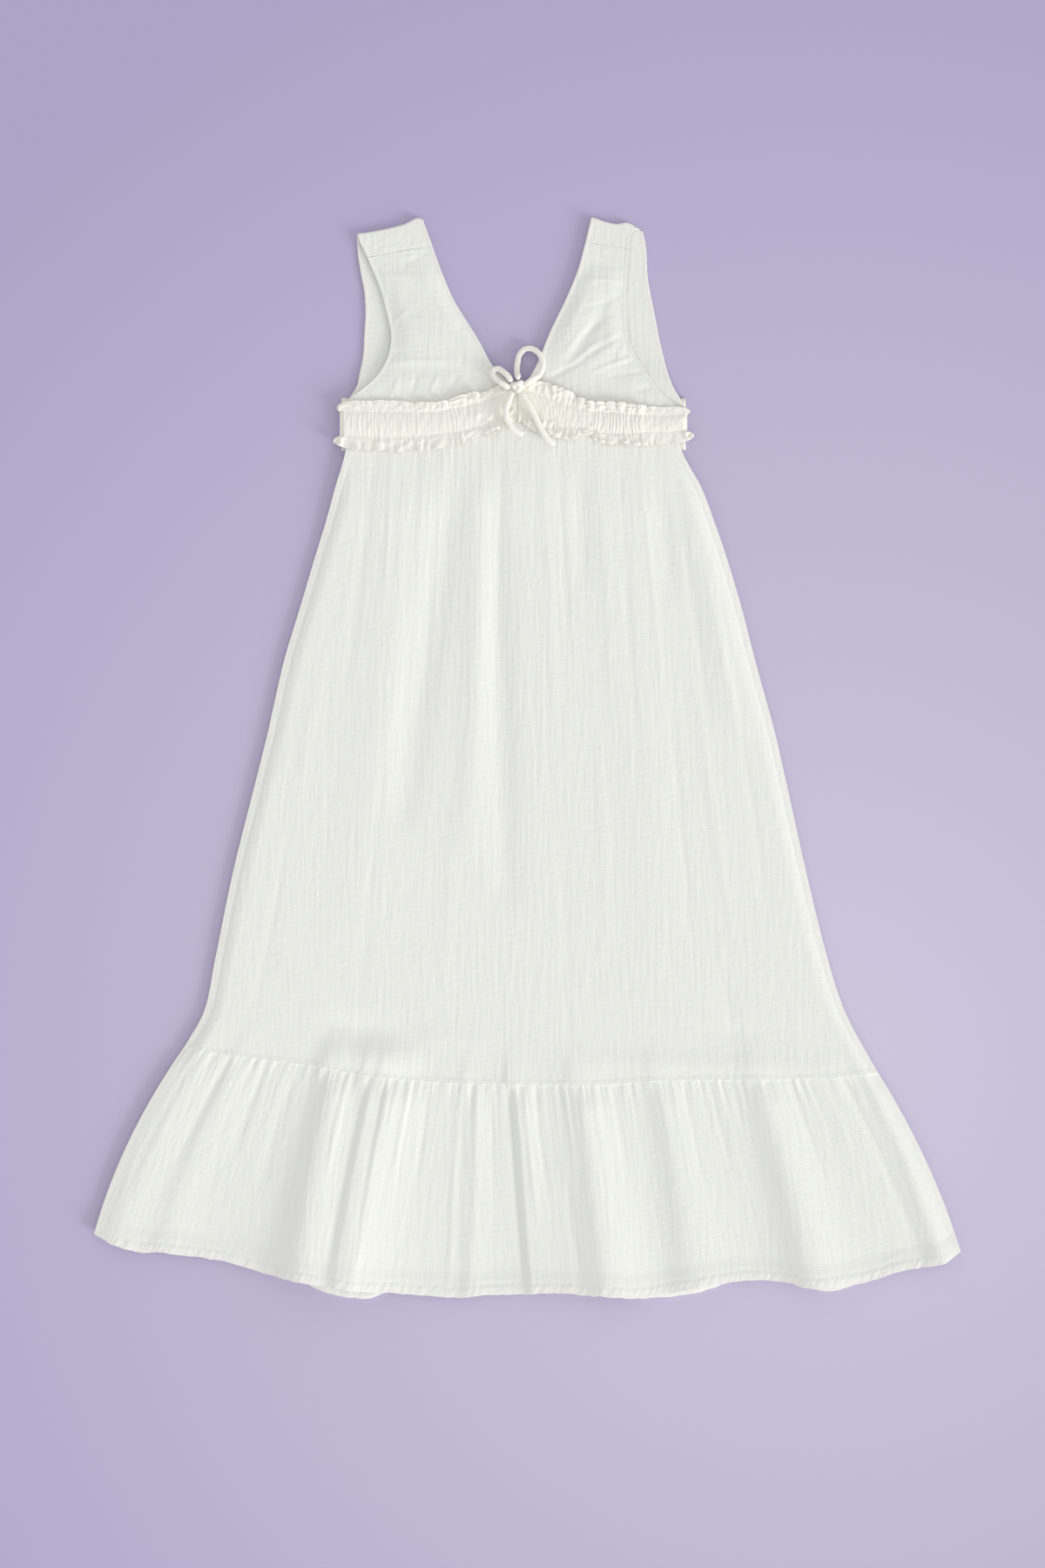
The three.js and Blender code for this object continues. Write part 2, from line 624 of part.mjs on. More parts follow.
// The back half runs up under the front, turns over at the top of the strap, and ends at the shoulder seam
function bodiceBack(half, columns, rows) {
  const foldY = (u) => smooth(half.fold, "u", "y", u);
  const outerRadius = FOLD_INSIDE + CLOTH;
  const under = rows.length;
  const total = under + FOLD_STEPS + 2;
  const place = (i, j, outside) => {
    const u = i / (columns - 1);
    const centre = foldY(u) - outerRadius;
    if (j < under) {
      const plan = bodicePlan(half, u, rows[j], "back", centre, centre);
      const lift = backLift(plan.y);
      return [plan.x, plan.y, lift + (outside ? 0 : CLOTH)];
    }
    const radius = outside ? outerRadius : FOLD_INSIDE;
    const turn = (Math.PI * (j - under + 1)) / (FOLD_STEPS + 1);
    const topX = (y, layer) => lerp(armholeX(half, y, layer), neckX(half, y), u);
    if (j < total - 2) {
      const y = centre + radius * Math.sin(turn);
      const share = turn / Math.PI;
      const x = lerp(topX(centre, "back"), topX(centre, "front"), share);
      return [x, y, outerRadius - radius * Math.cos(turn)];
    }
    const seam = lerp(half.shoulder.outer, half.shoulder.inner, u);
    const y = j === total - 2 ? centre : seam;
    return [topX(y, "front"), y, outerRadius + radius];
  };
  return wallGeometry(
    columns,
    total,
    (i, j) => place(i, j, true),
    (i, j) => place(i, j, false),
  );
}

// Across the front band: the ruffles' free edges and middles, the stitching, and the casing between
const BAND_ROWS = [
  { lower: 1, casing: -1, wave: 1, puff: 0 },
  { lower: 0.5, casing: -1, wave: 0.75, puff: 0 },
  { lower: 0, casing: -1, wave: 0, puff: 0 },
  { lower: 0, casing: -0.45, wave: 0, puff: 1 },
  { upper: 0, casing: 0.45, wave: 0, puff: 1 },
  { upper: 0, casing: 1, wave: 0, puff: 0 },
  { upper: 0.5, casing: 1, wave: 0.75, puff: 0 },
  { upper: 1, casing: 1, wave: 1, puff: 0 },
];

function frontBand(table) {
  const columns = 2 * BAND_RIBS + 1;
  const first = table[0].x;
  const last = table[table.length - 1].x;
  const sideX = Math.abs(first) > Math.abs(last) ? first : last;
  const place = (i, j, outside) => {
    const row = BAND_ROWS[j];
    const x = lerp(first, last, i / (columns - 1));
    const width = (column) => smooth(table, "x", column, x);
    const slope = (smooth(table, "x", "mid", x + 1) - smooth(table, "x", "mid", x - 1)) / 2;
    const turn = 1 / Math.hypot(1, slope);
    const shift = row.upper ? RUFFLE_SHIFT : 0;
    const phase = (2 * Math.PI * RUFFLE_WAVES * i) / (columns - 1) + shift;
    const swing = Math.sin(phase + RUFFLE_DRIFT * Math.sin(phase * RUFFLE_DRIFT_RATE));
    const scallop = RUFFLE_SCALLOP * swing * row.wave;
    const out = (row.upper ?? 0) * width("upper") - (row.lower ?? 0) * width("lower");
    const across = row.casing * width("casing") + out + Math.sign(out) * scallop;
    const fromSide = Math.abs(x - sideX);
    const fromKnot = Math.abs(x - (sideX === first ? last : first));
    const free = step(BAND_PINCH, BAND_PINCH_END, fromKnot);
    const drop = BAND_END_DROP * (1 - step(0, BAND_END_CURL, fromSide));
    const flare = BAND_END_FLARE * (row.lower ?? 0) * (1 - step(0, BAND_FLARE_FROM, fromSide));
    const lean = BAND_LEAN * slope * turn * across * step(0, BAND_UPRIGHT_END, fromKnot);
    const rib = i % 2 ? RIB_HEIGHT : 0;
    const ruffle = RUFFLE_HEIGHT * row.wave * (0.5 + 0.5 * swing) * free;
    const raised = outside ? CLOTH + row.puff * (CASING_RISE + rib) * free : 0;
    const z = FRONT_BAND_Z - drop + ruffle + raised;
    const alongX = x - lean + Math.sign(sideX) * flare;
    return [alongX, smooth(table, "x", "mid", x) + turn * across, z];
  };
  return wallGeometry(
    columns,
    BAND_ROWS.length,
    (i, j) => place(i, j, true),
    (i, j) => place(i, j, false),
  );
}

// The back band lies under everything, flat on the surface
const BACK_BAND = { left: -155, right: 132, half: 21, scallop: 1, waves: 14, columns: 57 };
const BACK_BAND_ROWS = [-1, 0, 1];

function backBand() {
  const place = (i, j, z) => {
    const u = i / (BACK_BAND.columns - 1);
    const across = BACK_BAND_ROWS[j];
    const phase = 2 * Math.PI * BACK_BAND.waves * u;
    const scallop = Math.abs(across) === 1 ? BACK_BAND.scallop * Math.sin(phase) : 0;
    const x = lerp(BACK_BAND.left, BACK_BAND.right, u);
    return [x, WAIST_Y + across * (BACK_BAND.half + scallop), z];
  };
  return wallGeometry(
    BACK_BAND.columns,
    BACK_BAND_ROWS.length,
    (i, j) => place(i, j, BACK_BAND_CLOTH),
    (i, j) => place(i, j, 0),
  );
}

// The two points of a cord's straight end at the knot, the first a seam's gap outside it
function knotExit(degrees) {
  const angle = THREE.MathUtils.degToRad(degrees);
  const way = new THREE.Vector3(Math.cos(angle), Math.sin(angle), KNOT_RISE).normalize();
  const reach = 1 / Math.hypot(way.x / KNOT.wide, way.y / KNOT.deep, way.z / KNOT.high);
  const outside = (far) =>
    new THREE.Vector3(KNOT.x, KNOT.y, KNOT.z).addScaledVector(way, reach + SEAM_GAP + far);
  return [outside(0), outside(KNOT_STUB)];
}

function cordGeometry(route) {
  const points = route.flatMap((p, k) => {
    if (p.out === undefined) return [new THREE.Vector3(p.x, p.y, p.z)];
    return k === 0 ? knotExit(p.out) : knotExit(p.out).reverse();
  });
  const path = new THREE.CatmullRomCurve3(points, false, "centripetal");
  const section = new THREE.Shape();
  for (let k = 0; k <= CORD_SIDES; k++) {
    const angle = (2 * Math.PI * k) / CORD_SIDES;
    const [x, y] = [(CORD / 2) * Math.cos(angle), (CORD / 2) * Math.sin(angle)];
    if (k === 0) section.moveTo(x, y);
    else if (k < CORD_SIDES) section.lineTo(x, y);
  }
  const steps = Math.ceil(path.getLength() / (CORD_STEP * CORD));
  return new THREE.ExtrudeGeometry(section, { steps, extrudePath: path, bevelEnabled: false });
}

function knotGeometry() {
  const ball = new THREE.SphereGeometry(1, KNOT_SIDES, KNOT_RINGS);
  ball.scale(KNOT.wide, KNOT.deep, KNOT.high);
  ball.translate(KNOT.x, KNOT.y, KNOT.z);
  return ball;
}

const dress = new THREE.Group();

function add(name, geometry, color) {
  const material = new THREE.MeshStandardMaterial({ color, roughness: 0.95, metalness: 0 });
  const mesh = new THREE.Mesh(geometry, material);
  mesh.name = name;
  dress.add(mesh);
}

const SKIRT_ROWS = [0, 0.03, 0.055, 0.08, 0.12, 0.19, 0.28, 0.38, 0.49, 0.6, 0.71, 0.82, 0.9, 0.95, 1];
const FLOUNCE_ROWS = [0, 0.08, 0.28, 0.6, 0.9, HEM_FROM, 1];
const BACK_FLOUNCE_ROWS = [0, 0.5, HEM_FROM - 0.02, HEM_FROM, 1];
const BODICE_ROWS = [0, 0.08, 0.15, 0.2, 0.26, 0.33, 0.42, 0.55, 0.7, 0.85, 1];

add("waistband_back", backBand(), BAND_CLOTH);
add("skirt_back", skirtPanel(BACK, SKIRT_ROWS), WHITE_CLOTH);
add("flounce_back", flouncePanel(BACK, BACK_FLOUNCE_ROWS), WHITE_CLOTH);
add("bodice_back_left", bodiceBack(LEFT, BACK_COLUMNS, BODICE_ROWS), INSIDE_CLOTH);
add("bodice_back_right", bodiceBack(RIGHT, BACK_COLUMNS, BODICE_ROWS), INSIDE_CLOTH);
add("skirt_front", skirtPanel(FRONT, SKIRT_ROWS), WHITE_CLOTH);
add("flounce_front", flouncePanel(FRONT, FLOUNCE_ROWS), WHITE_CLOTH);
add("bodice_front_left", bodiceFront(LEFT, CUP_COLUMNS, BODICE_ROWS), WHITE_CLOTH);
add("bodice_front_right", bodiceFront(RIGHT, CUP_COLUMNS, BODICE_ROWS), WHITE_CLOTH);
add("waistband_front_left", frontBand(BAND_LEFT), BAND_CLOTH);
add("waistband_front_right", frontBand(BAND_RIGHT), BAND_CLOTH);
add("drawstring_knot", knotGeometry(), CORD_CLOTH);
add("drawstring_loop_left", cordGeometry(LOOP_LEFT), CORD_CLOTH);
add("drawstring_loop_right", cordGeometry(LOOP_RIGHT), CORD_CLOTH);
add("drawstring_tail_left", cordGeometry(TAIL_LEFT), CORD_CLOTH);
add("drawstring_tail_right", cordGeometry(TAIL_RIGHT), CORD_CLOTH);

export default dress;
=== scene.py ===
import math

import bpy
import numpy as np
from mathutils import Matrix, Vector


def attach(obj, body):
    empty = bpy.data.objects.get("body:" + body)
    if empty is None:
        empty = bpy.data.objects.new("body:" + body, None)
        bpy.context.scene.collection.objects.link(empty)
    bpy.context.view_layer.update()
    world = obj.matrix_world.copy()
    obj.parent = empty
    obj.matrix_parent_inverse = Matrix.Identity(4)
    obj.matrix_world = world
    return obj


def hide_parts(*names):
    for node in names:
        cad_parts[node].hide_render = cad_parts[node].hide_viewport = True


# The girl's muslin dress, laid flat on its back and seen from above. Lengths are in millimetres and become
# metres where a mesh is made. Each cloth piece is a fine thin shell on the form of its solid.

MM = 0.001
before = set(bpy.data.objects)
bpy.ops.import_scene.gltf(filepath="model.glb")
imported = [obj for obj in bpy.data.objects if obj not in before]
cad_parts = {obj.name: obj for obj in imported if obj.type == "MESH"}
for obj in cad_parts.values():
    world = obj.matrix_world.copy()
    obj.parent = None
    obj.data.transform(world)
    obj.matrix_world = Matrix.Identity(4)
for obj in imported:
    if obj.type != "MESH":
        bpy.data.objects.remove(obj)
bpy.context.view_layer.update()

# Cloth and layers, as in the solids
CLOTH = 1.4
THIN = 0.9  # the gauze itself, inside the wall of its solid
FLOUNCE_CLOTH = 1.8
HEM_CLOTH = 2.6
HEM_FROM = 0.955
LAYER_GAP = 0.6
SEAM_GAP = 0.3
BACK_INSET = 1.5
BACK_BAND_CLOTH = 1.6
BACK_BAND_LIFT = 1.9
WAIST_Y = 278
LIFT_FLAT, LIFT_END = 30, 56
FRONT_LIFT_FLAT, FRONT_LIFT_END = 22, 105
FRONT_BAND_Z = BACK_BAND_LIFT + CLOTH + LAYER_GAP + CLOTH + SEAM_GAP
CENTRE_X = -8


def table(text):
    """Rows of numbers under a line of column names, as one array for each column."""
    names, *rows = [line.split() for line in text.strip().splitlines()]
    return dict(zip(names, np.array(rows, float).T))


BAND_LEFT = table("""
x       mid    casing  upper  lower
-156    278    10      9      11
-113    277.5  10.5    10     12
-76     278.5  9.5     8      12
-44     284.5  10      10     10
-26     292    9       9      13
-8.1    300    7       7      14
""")
BAND_RIGHT = table("""
x     mid    casing  upper  lower
-7.9  300    7       8      14
14    292.5  8.5     12     15
32    285    9       12     11
50    281.5  7.5     8      8
69    278.5  8.5     9      9
98    278    7       8      11
133   279    7       6      9
""")
BAND_LEAN = 0.4
BAND_END_CURL = 4
BAND_END_DROP = 1.9
BAND_END_FLARE = 6
BAND_FLARE_FROM = 14
BAND_PINCH, BAND_PINCH_END = 3, 11
BAND_UPRIGHT_END = 22
CASING_RISE = 1.6

WAIST_SEAM = table("""
x     y
-160  278
-113  277.5
-76   278.5
-44   284.5
-26   291
-8    297
14    292
32    285
50    281.5
69    279
140   278
""")
SKIRT = table("""
y     left    right
300   -150.5  127.5
279   -150.5  127.5
257   -151    128
225   -160    145
196   -168    156
167   -177    166
123   -190    179
80    -203    190
22    -216    206
-22   -227    216
-94   -245    232
-167  -260    250
-210  -269    264
-239  -285    279
-270  -304    297
""")
FLOUNCE_SEAM = table("""
x     y
-300  -237
-285  -239
-258  -244
-192  -252
-160  -256
-127  -262
-69   -268
-4    -270
69    -270
112   -267
243   -265
291   -261
310   -259
""")
FLOUNCE_GRAIN = table("""
seam  hem     bow
-285  -360.5  0.45
-249  -322    0.35
-189  -236    0.25
-160  -194    0.3
-127  -160    0.3
-84   -110    0.2
-16   -5      0
36    58      0.1
101   130     0.3
141   174     0.3
192   240     0.2
275   341     0.3
291   360.5   0.35
""")
HEM = table("""
x     y       back
-361  -395    -3
-345  -405    -3
-323  -410    -3
-294  -412    -3
-250  -419    -3
-221  -427    -3
-194  -434    -2
-171  -438    6
-149  -442    7
-128  -444    5
-112  -444    -3
-76   -447    -3
-55   -448    -3
-4    -445    -3
60    -446    -3
94    -448    1.5
127   -443    4
156   -437    4
174   -434.5  -3
192   -434    -3
214   -436    -3
236   -440    2
262   -438    4
286   -434    -2
315   -425    -3
348   -419    -3
361   -410    -3
""")
LEFT_NECK = table("""
y    x
296  -8.5
308  -12
327  -29
347  -40
371  -55
383  -62
404  -71
429  -80
451  -88
""")
RIGHT_NECK = table("""
y    x
296  -7.5
308  -3
328  8
355  19
382  32
406  42
428  48
451  53.5
""")
LEFT_ARMHOLE = table("""
y    front   back
278  -150.5  -151
290  -150.5  -151
298  -149    -149
310  -134    -142
320  -124    -140
335  -116    -137
352  -113.5  -136
370  -117    -135
389  -122    -136
402  -127    -138.5
418  -134    -141
431  -140    -142
440  -142    -142
""")
RIGHT_ARMHOLE = table("""
y    front  back
278  127.5  131.5
290  127    132
300  116    127
308  108    122
318  101    118
334  91     113.5
349  84.5   110
370  82     106
399  83     100.5
424  85     99
435  86     97
444  93     95
""")
LEFT_FOLD = table("""
u     y
0     437
0.2   438.5
0.5   442
0.7   445
0.92  450
1     448
""")
RIGHT_FOLD = table("""
u     y
0     441
0.25  446
0.45  445
0.7   447
0.95  450.4
1     450
""")
LEFT_SHOULDER = (417, 427)
RIGHT_SHOULDER = (424, 430)
FOLD_INSIDE = 0.5

# Soft folds: from one end to the other, wide across, and rising or, below zero, sinking
SKIRT_FOLDS = table("""
x1    y1    x2    y2    wide  rise
-33   262   -50   -70   11    1.5
-62   232   -104  -40   14    -2.4
-29   262   -18   -110  11    -2
43    250   46    150   7     -1
108   250   118   140   9     -1.1
140   190   172   30    12    1.2
-100  230   -140  -120  24    1.2
80    200   110   -160  22    0.9
-150  -246  -100  -252  12    2.8
-160  -222  -96   -230  10    -1.5
60    -252  250   -258  9     0.9
""")
LEFT_CUP_FOLDS = table("""
x1    y1   x2   y2   wide  rise
-122  309  -60  311  8     4.6
-112  322  -40  322  5     -2.4
-88   340  -78  372  26    2.2
""")
RIGHT_CUP_FOLDS = table("""
x1  y1   x2   y2   wide  rise
28  318  66   378  5     -2.2
40  314  76   352  8     3
62  311  92   332  5     -1.8
84  309  104  314  7     2.6
30  345  52   385  12    1.6
""")
SKIRT_PUFF, CUP_PUFF = 2.4, 1.6
CUP_FOLDING = 0.52  # how much of its folds' height a cup shows
EDGE_FADE = 16
WAIST_FADE, WAIST_FADE_END = 20, 78

FLOUNCE_FOLDS = table("""
seam  left  right  rise  crest
-268  14    24    0.8   1.5
-236  12    20    1     1.5
-128  50    26    2.4   6.5
-159  18    24    4     6.5
-126  8     12    2     2.6
-112  12    36    4.4   4.8
-44   8     14    1.4   1.6
-9    6     34    2.8   2.6
43    35    34    3     6.4
43    11    32    1.6   2.6
109   17    30    2.6   4.4
192   22    29    3.8   8
281   13    12    2     4
""")
FLOUNCE_GATHERS = 56
SEAM_WIDTH_SHARE = 0.55
SEAM_LEFT, SEAM_RIGHT = FLOUNCE_GRAIN["seam"][0], FLOUNCE_GRAIN["seam"][-1]

# Narrower creases, which only the looks have, and how much of their height shows
CREASING, SKIRT_CREASING = 0.8, 0.55
SKIRT_CREASES = table("""
x1    y1    x2    y2    wide  rise
-128  252   -150  60    4     -0.7
-112  250   -120  120   3     0.6
-92   250   -104  20    5     -0.8
-70   250   -78   90    3.5   0.7
-22   255   -26   70    3     -0.6
14    255   22    40    4     0.7
26    250   34    90    3     -0.7
60    248   70    60    5     0.8
76    248   92    -20   4     -0.8
94    246   112   60    3     0.6
124   230   150   40    4     -0.8
150   150   186   -20   5     0.9
168   90    200   -120  4     -0.8
140   60    170   -150  4     0.8
120   40    136   -150  3.5   -0.7
60    20    66    -160  5     0.6
30    -60   34    -220  4     -0.5
-60   -40   -70   -200  5     0.6
-120  0     -138  -190  4     -0.6
-170  80    -205  -100  5     0.6
-190  -20   -225  -200  4     -0.7
-205  -170  -150  -225  8     1.2
-120  -226  -40   -236  7     0.9
150   -226  215   -232  8     -0.8
160   -180  176   -240  9     -1
""")
FLOUNCE_CREASES = table("""
seam  drift  start  end  wide  rise
-272  2      0.0    0.7  4     -0.7
-245  -4     0.0    0.5  4     -0.6
-214  3      0.05   0.45 4     -0.7
-190  0      0.1    0.6  5     -0.6
-148  -2     0.0    0.5  3     0.8
-132  -3     0.1    0.9  2.8   -0.9
-117  2      0.0    0.8  2.8   -0.8
-96   2      0.0    0.4  2.5   0.6
-80   0      0.0    0.5  3     -0.6
-56   2      0.0    1    3     0.6
-46   2      0.0    0.7  3     -0.6
-30   -3     0.0    0.5  2.5   -0.5
-15   2      0.0    1    2.6   -1.6
-3    3      0.0    0.6  2.2   0.7
6     2      0.0    0.5  3     -0.8
22    4      0.5    1    4     -0.8
31    0      0.0    0.4  3     0.6
70    0      0.0    0.4  3     -0.5
128   2      0.0    0.5  3     -0.5
150   4      0.0    0.4  3     -0.6
217   4      0.0    0.4  3     -0.6
243   4      0.0    0.5  3     0.5
262   6      0.0    1    4     -0.7
""")
LEFT_CUP_CREASES = table("""
x1    y1   x2    y2   wide  rise
-96   305  -92   318  2.5   -0.8
-80   304  -76   316  2     0.8
-64   305  -60   317  2.5   -0.9
-112  304  -108  314  2.5   0.7
-48   318  -30   316  3     -1.4
-50   330  -24   322  3     0.8
-118  330  -60   330  3     0.6
-120  340  -96   336  2.5   -0.5
-116  360  -100  372  2.5   0.5
-70   360  -56   352  3     -0.5
-124  404  -96   400  2.5   0.5
-104  410  -84   420  2.5   -0.5
""")
RIGHT_CUP_CREASES = table("""
x1   y1   x2   y2   wide  rise
18   316  44   330  2.5   -1.2
34   326  58   346  2.5   1
48   334  76   350  2.5   -1
56   322  92   336  2     0.9
70   318  98   322  2     -0.8
76   332  84   352  2.5   0.7
44   350  70   370  3     -0.7
30   336  50   360  3     0.6
48   374  78   384  2.5   -0.5
50   400  80   396  2.5   0.6
52   412  82   408  2.5   -0.5
90   306  106  308  2     -0.8
""")

# The bow, as in the solids, but with a cord that lies a little flattened
CORD_WIDE, CORD_THICK = 4.8, 3.6
KNOT = {"x": -8.4, "y": 308.5, "z": 11.4, "wide": 5.6, "deep": 5.6, "high": 4}
KNOT_RISE = 0.15
KNOT_STUB = 2.4
CORD_IN_KNOT = 3.8
RING_SPACING = 0.6
CORD_ROUTES = {
    "loop_right": (16, table("""
x      y      z
3      313.5  12.6
9.4    317.6  10.4
12.6   325    8.6
11.6   333    7
6.6    339.4  5.2
0      341    3.8
-5.6   337    3.6
-8.4   328    5.4
-8.4   320    9
"""), 86),
    "loop_left": (135, table("""
x      y      z
-16.2  317    12.2
-19.8  320.6  10.8
-24.2  323.6  9
-28.2  322.2  8.6
-28.6  318    9.8
-25    314    11.2
-20.8  310.8  12.8
"""), 181),
    "tail_right": (300, table("""
x      y      z
-1.6   297.6  13
2.6    290.6  13.2
6.4    283.6  13
9.6    276.6  12.6
13.4   269.8  12.4
18     263.8  11.6
23     260.6  11
"""), None),
    "tail_left": (236, table("""
x      y      z
-15.4  297    12.8
-17.6  289.6  13
-17.2  282.4  13
-13.8  275.6  12.6
-8.4   271    12
-3     268.6  11.4
"""), None),
}


def smooth(rows, key, column, at):
    """A cubic through the rows of a table, at places along its key column."""
    order = np.argsort(rows[key])
    x, y = rows[key][order], rows[column][order]
    last = len(x) - 1
    k = np.clip(np.searchsorted(x, at) - 1, 0, last - 1)
    before = np.maximum(np.arange(last + 1) - 1, 0)
    after = np.minimum(np.arange(last + 1) + 1, last)
    slope = (y[after] - y[before]) / (x[after] - x[before])
    span = x[k + 1] - x[k]
    t = np.clip((at - x[k]) / span, 0, 1)
    line = y[k] + (y[k + 1] - y[k]) * t * t * (3 - 2 * t)
    return line + t * (1 - t) ** 2 * span * slope[k] + t * t * (t - 1) * span * slope[k + 1]


def step(low, high, x):
    t = np.clip((x - low) / (high - low), 0, 1)
    return t * t * (3 - 2 * t)


def lerp(a, b, t):
    return a + (b - a) * t


def bell(distance, width):
    return np.exp(-((distance / width) ** 2))


NOISE_SIDE = 256


def noise(x, y, seed):
    """Smooth noise from 0 to 1 over a lattice of whole numbers."""
    lattice = np.random.default_rng(seed).random((NOISE_SIDE, NOISE_SIDE))
    i, j = np.floor(x).astype(int), np.floor(y).astype(int)
    fx, fy = x - i, y - j
    fx, fy = fx * fx * (3 - 2 * fx), fy * fy * (3 - 2 * fy)

    def at(a, b):
        return lattice[(i + a) % NOISE_SIDE, (j + b) % NOISE_SIDE]

    low = lerp(at(0, 0), at(1, 0), fx)
    high = lerp(at(0, 1), at(1, 1), fx)
    return lerp(low, high, fy)


def noise_along(x, seed):
    """The same along one line of the lattice."""
    return noise(x, 0 * x, seed)


def ridge(n):
    return 1 - np.abs(2 * n - 1)


def crinkle(across, along, seed, strength=1.0):
    """The gauze's lengthwise crinkles: short narrow ridges that wander, stronger in some places."""
    wander = 3 * noise(across / 40, along / 60, seed)
    coarse = noise((across + wander) / 2.3, along / 30, seed + 1)
    fine = noise((across + wander) / 1.4, along / 14, seed + 2)
    patch = 0.3 + 0.9 * noise(across / 60, along / 80, seed + 3)
    return strength * patch * (0.55 * coarse + 0.3 * fine - 0.42)


def fold_relief(folds, x, y):
    total = np.zeros_like(x)
    for x1, y1, x2, y2, wide, rise in zip(*folds.values()):
        dx, dy = x2 - x1, y2 - y1
        near = np.clip(((x - x1) * dx + (y - y1) * dy) / (dx * dx + dy * dy), 0, 1)
        away = np.hypot(x - x1 - near * dx, y - y1 - near * dy)
        total += rise * (0.35 + 0.65 * np.sin(np.pi * (0.1 + 0.8 * near))) * bell(away, wide)
    return total


# Heights and outlines shared by the pieces
def back_lift(y):
    return BACK_BAND_LIFT * (1 - step(LIFT_FLAT, LIFT_END, np.abs(y - WAIST_Y)))


def front_top(y):
    """The front's outer face: it slopes down from the back band more gently than the back does."""
    lift = BACK_BAND_LIFT * (1 - step(FRONT_LIFT_FLAT, FRONT_LIFT_END, np.abs(y - WAIST_Y)))
    return lift + CLOTH + LAYER_GAP + CLOTH


def waist_seam(x):
    return smooth(WAIST_SEAM, "x", "y", x)


def flounce_seam(x):
    return smooth(FLOUNCE_SEAM, "x", "y", x)


def from_waist(x, y):
    return step(WAIST_FADE, WAIST_FADE_END, np.abs(y - waist_seam(x)))


def skirt_side(x, y):
    return np.minimum(x - smooth(SKIRT, "y", "left", y), smooth(SKIRT, "y", "right", y) - x)


def skirt_relief(x, y):
    fade = step(0, EDGE_FADE, skirt_side(x, y)) * from_waist(x, y)
    return np.maximum(0, (SKIRT_PUFF + fold_relief(SKIRT_FOLDS, x, y)) * fade)


def skirt_plan(u, v, front):
    """A point of the skirt in plan: u across from the left, v down from the waist seam to the flounce."""
    inset = 0 if front else BACK_INSET
    top_x = lerp(SKIRT["left"][0], SKIRT["right"][0], u)
    top = waist_seam(top_x) if front else WAIST_Y + 0 * u
    y = lerp(top, flounce_seam(lerp(SEAM_LEFT, SEAM_RIGHT, u)), v)
    left, right = smooth(SKIRT, "y", "left", y) + inset, smooth(SKIRT, "y", "right", y) - inset
    return lerp(left, right, u), y


def grain(seam, column):
    return smooth(FLOUNCE_GRAIN, "seam", column, seam)


def thread_x(seam, v):
    return lerp(seam, grain(seam, "hem"), v + grain(seam, "bow") * v * (1 - v))


# Meshes
def grid(columns, rows):
    """u and v over a grid, one row of the arrays for each v."""
    return np.meshgrid(np.linspace(0, 1, columns + 1), np.linspace(0, 1, rows + 1))


def eased(v, share):
    """Rows that lie closer together at both ends."""
    return v - share * np.sin(2 * np.pi * v) / (2 * np.pi)


def stack(x, y, z):
    return np.stack(np.broadcast_arrays(x, y, z), axis=-1).astype(float)


def threads(across, along):
    """The two thread coordinates of each point."""
    return stack(across, along, 0)[..., :2]


def largest_near(values, rows, columns):
    """The largest value within so many rows and columns of each place."""
    out = values
    for axis, reach in ((0, rows), (1, columns)):
        here = out
        for k in range(1, reach + 1):
            moved = np.roll(here, k, axis)
            back = np.roll(here, -k, axis)
            if axis == 0:
                moved[:k], back[-k:] = here[:k], here[-k:]
            else:
                moved[:, :k], back[:, -k:] = here[:, :k], here[:, -k:]
            out = np.maximum(out, np.maximum(moved, back))
    return out


def underside(x, y, z, detail, per_row, per_column, thickness):
    """The lower face under a smooth form with fine detail on it, lower where the detail sinks."""
    sunk = largest_near(np.maximum(0, -detail), per_row, per_column)
    return stack(x, y, z - sunk - thickness)[::per_row, ::per_column]


def shell(name, fine, coarse, thread, material, seams=()):
    """A closed shell between a fine grid of points and a coarser one, whose cells divide it evenly.
    thread holds the two thread coordinates of each fine point. seams names the edges, first or last row,
    where the cloth runs on into the next piece."""
    rows, columns = fine.shape[0] - 1, fine.shape[1] - 1
    low_rows, low_columns = coarse.shape[0] - 1, coarse.shape[1] - 1
    per_row, per_column = rows // low_rows, columns // low_columns
    first = (rows + 1) * (columns + 1)
    high = np.arange(first).reshape(rows + 1, columns + 1)
    low = first + np.arange((low_rows + 1) * (low_columns + 1)).reshape(low_rows + 1, low_columns + 1)

    def quads(index):
        return np.stack([index[:-1, :-1], index[:-1, 1:], index[1:, 1:], index[1:, :-1]], -1).reshape(-1, 4)

    faces = quads(high).tolist() + quads(low)[:, ::-1].tolist()
    flat = []

    def rim(edge, under, per, turned, seam=False):
        if seam:
            flat.extend(range(len(faces), len(faces) + len(under) - 1))
        for k in range(len(under) - 1):
            face = [*edge[k * per : (k + 1) * per + 1][::-1], under[k], under[k + 1]]
            faces.append([int(i) for i in (face[::-1] if turned else face)])

    rim(high[0], low[0], per_column, False, "first" in seams)
    rim(high[-1], low[-1], per_column, True, "last" in seams)
    rim(high[:, 0], low[:, 0], per_row, True)
    rim(high[:, -1], low[:, -1], per_row, False)

    mesh = bpy.data.meshes.new(name)
    points = np.concatenate([fine.reshape(-1, 3), coarse.reshape(-1, 3)]) * MM
    mesh.from_pydata(points.tolist(), [], faces)
    coarse_thread = thread[::per_row, ::per_column]
    both = np.concatenate([thread.reshape(-1, 2), coarse_thread.reshape(-1, 2)]) * MM
    return finish_mesh(name, mesh, both, material, flat)


def put(name, data):
    """A new object in the scene, with this mesh, camera or light."""
    placed = bpy.data.objects.new(name, data)
    bpy.context.scene.collection.objects.link(placed)
    return placed


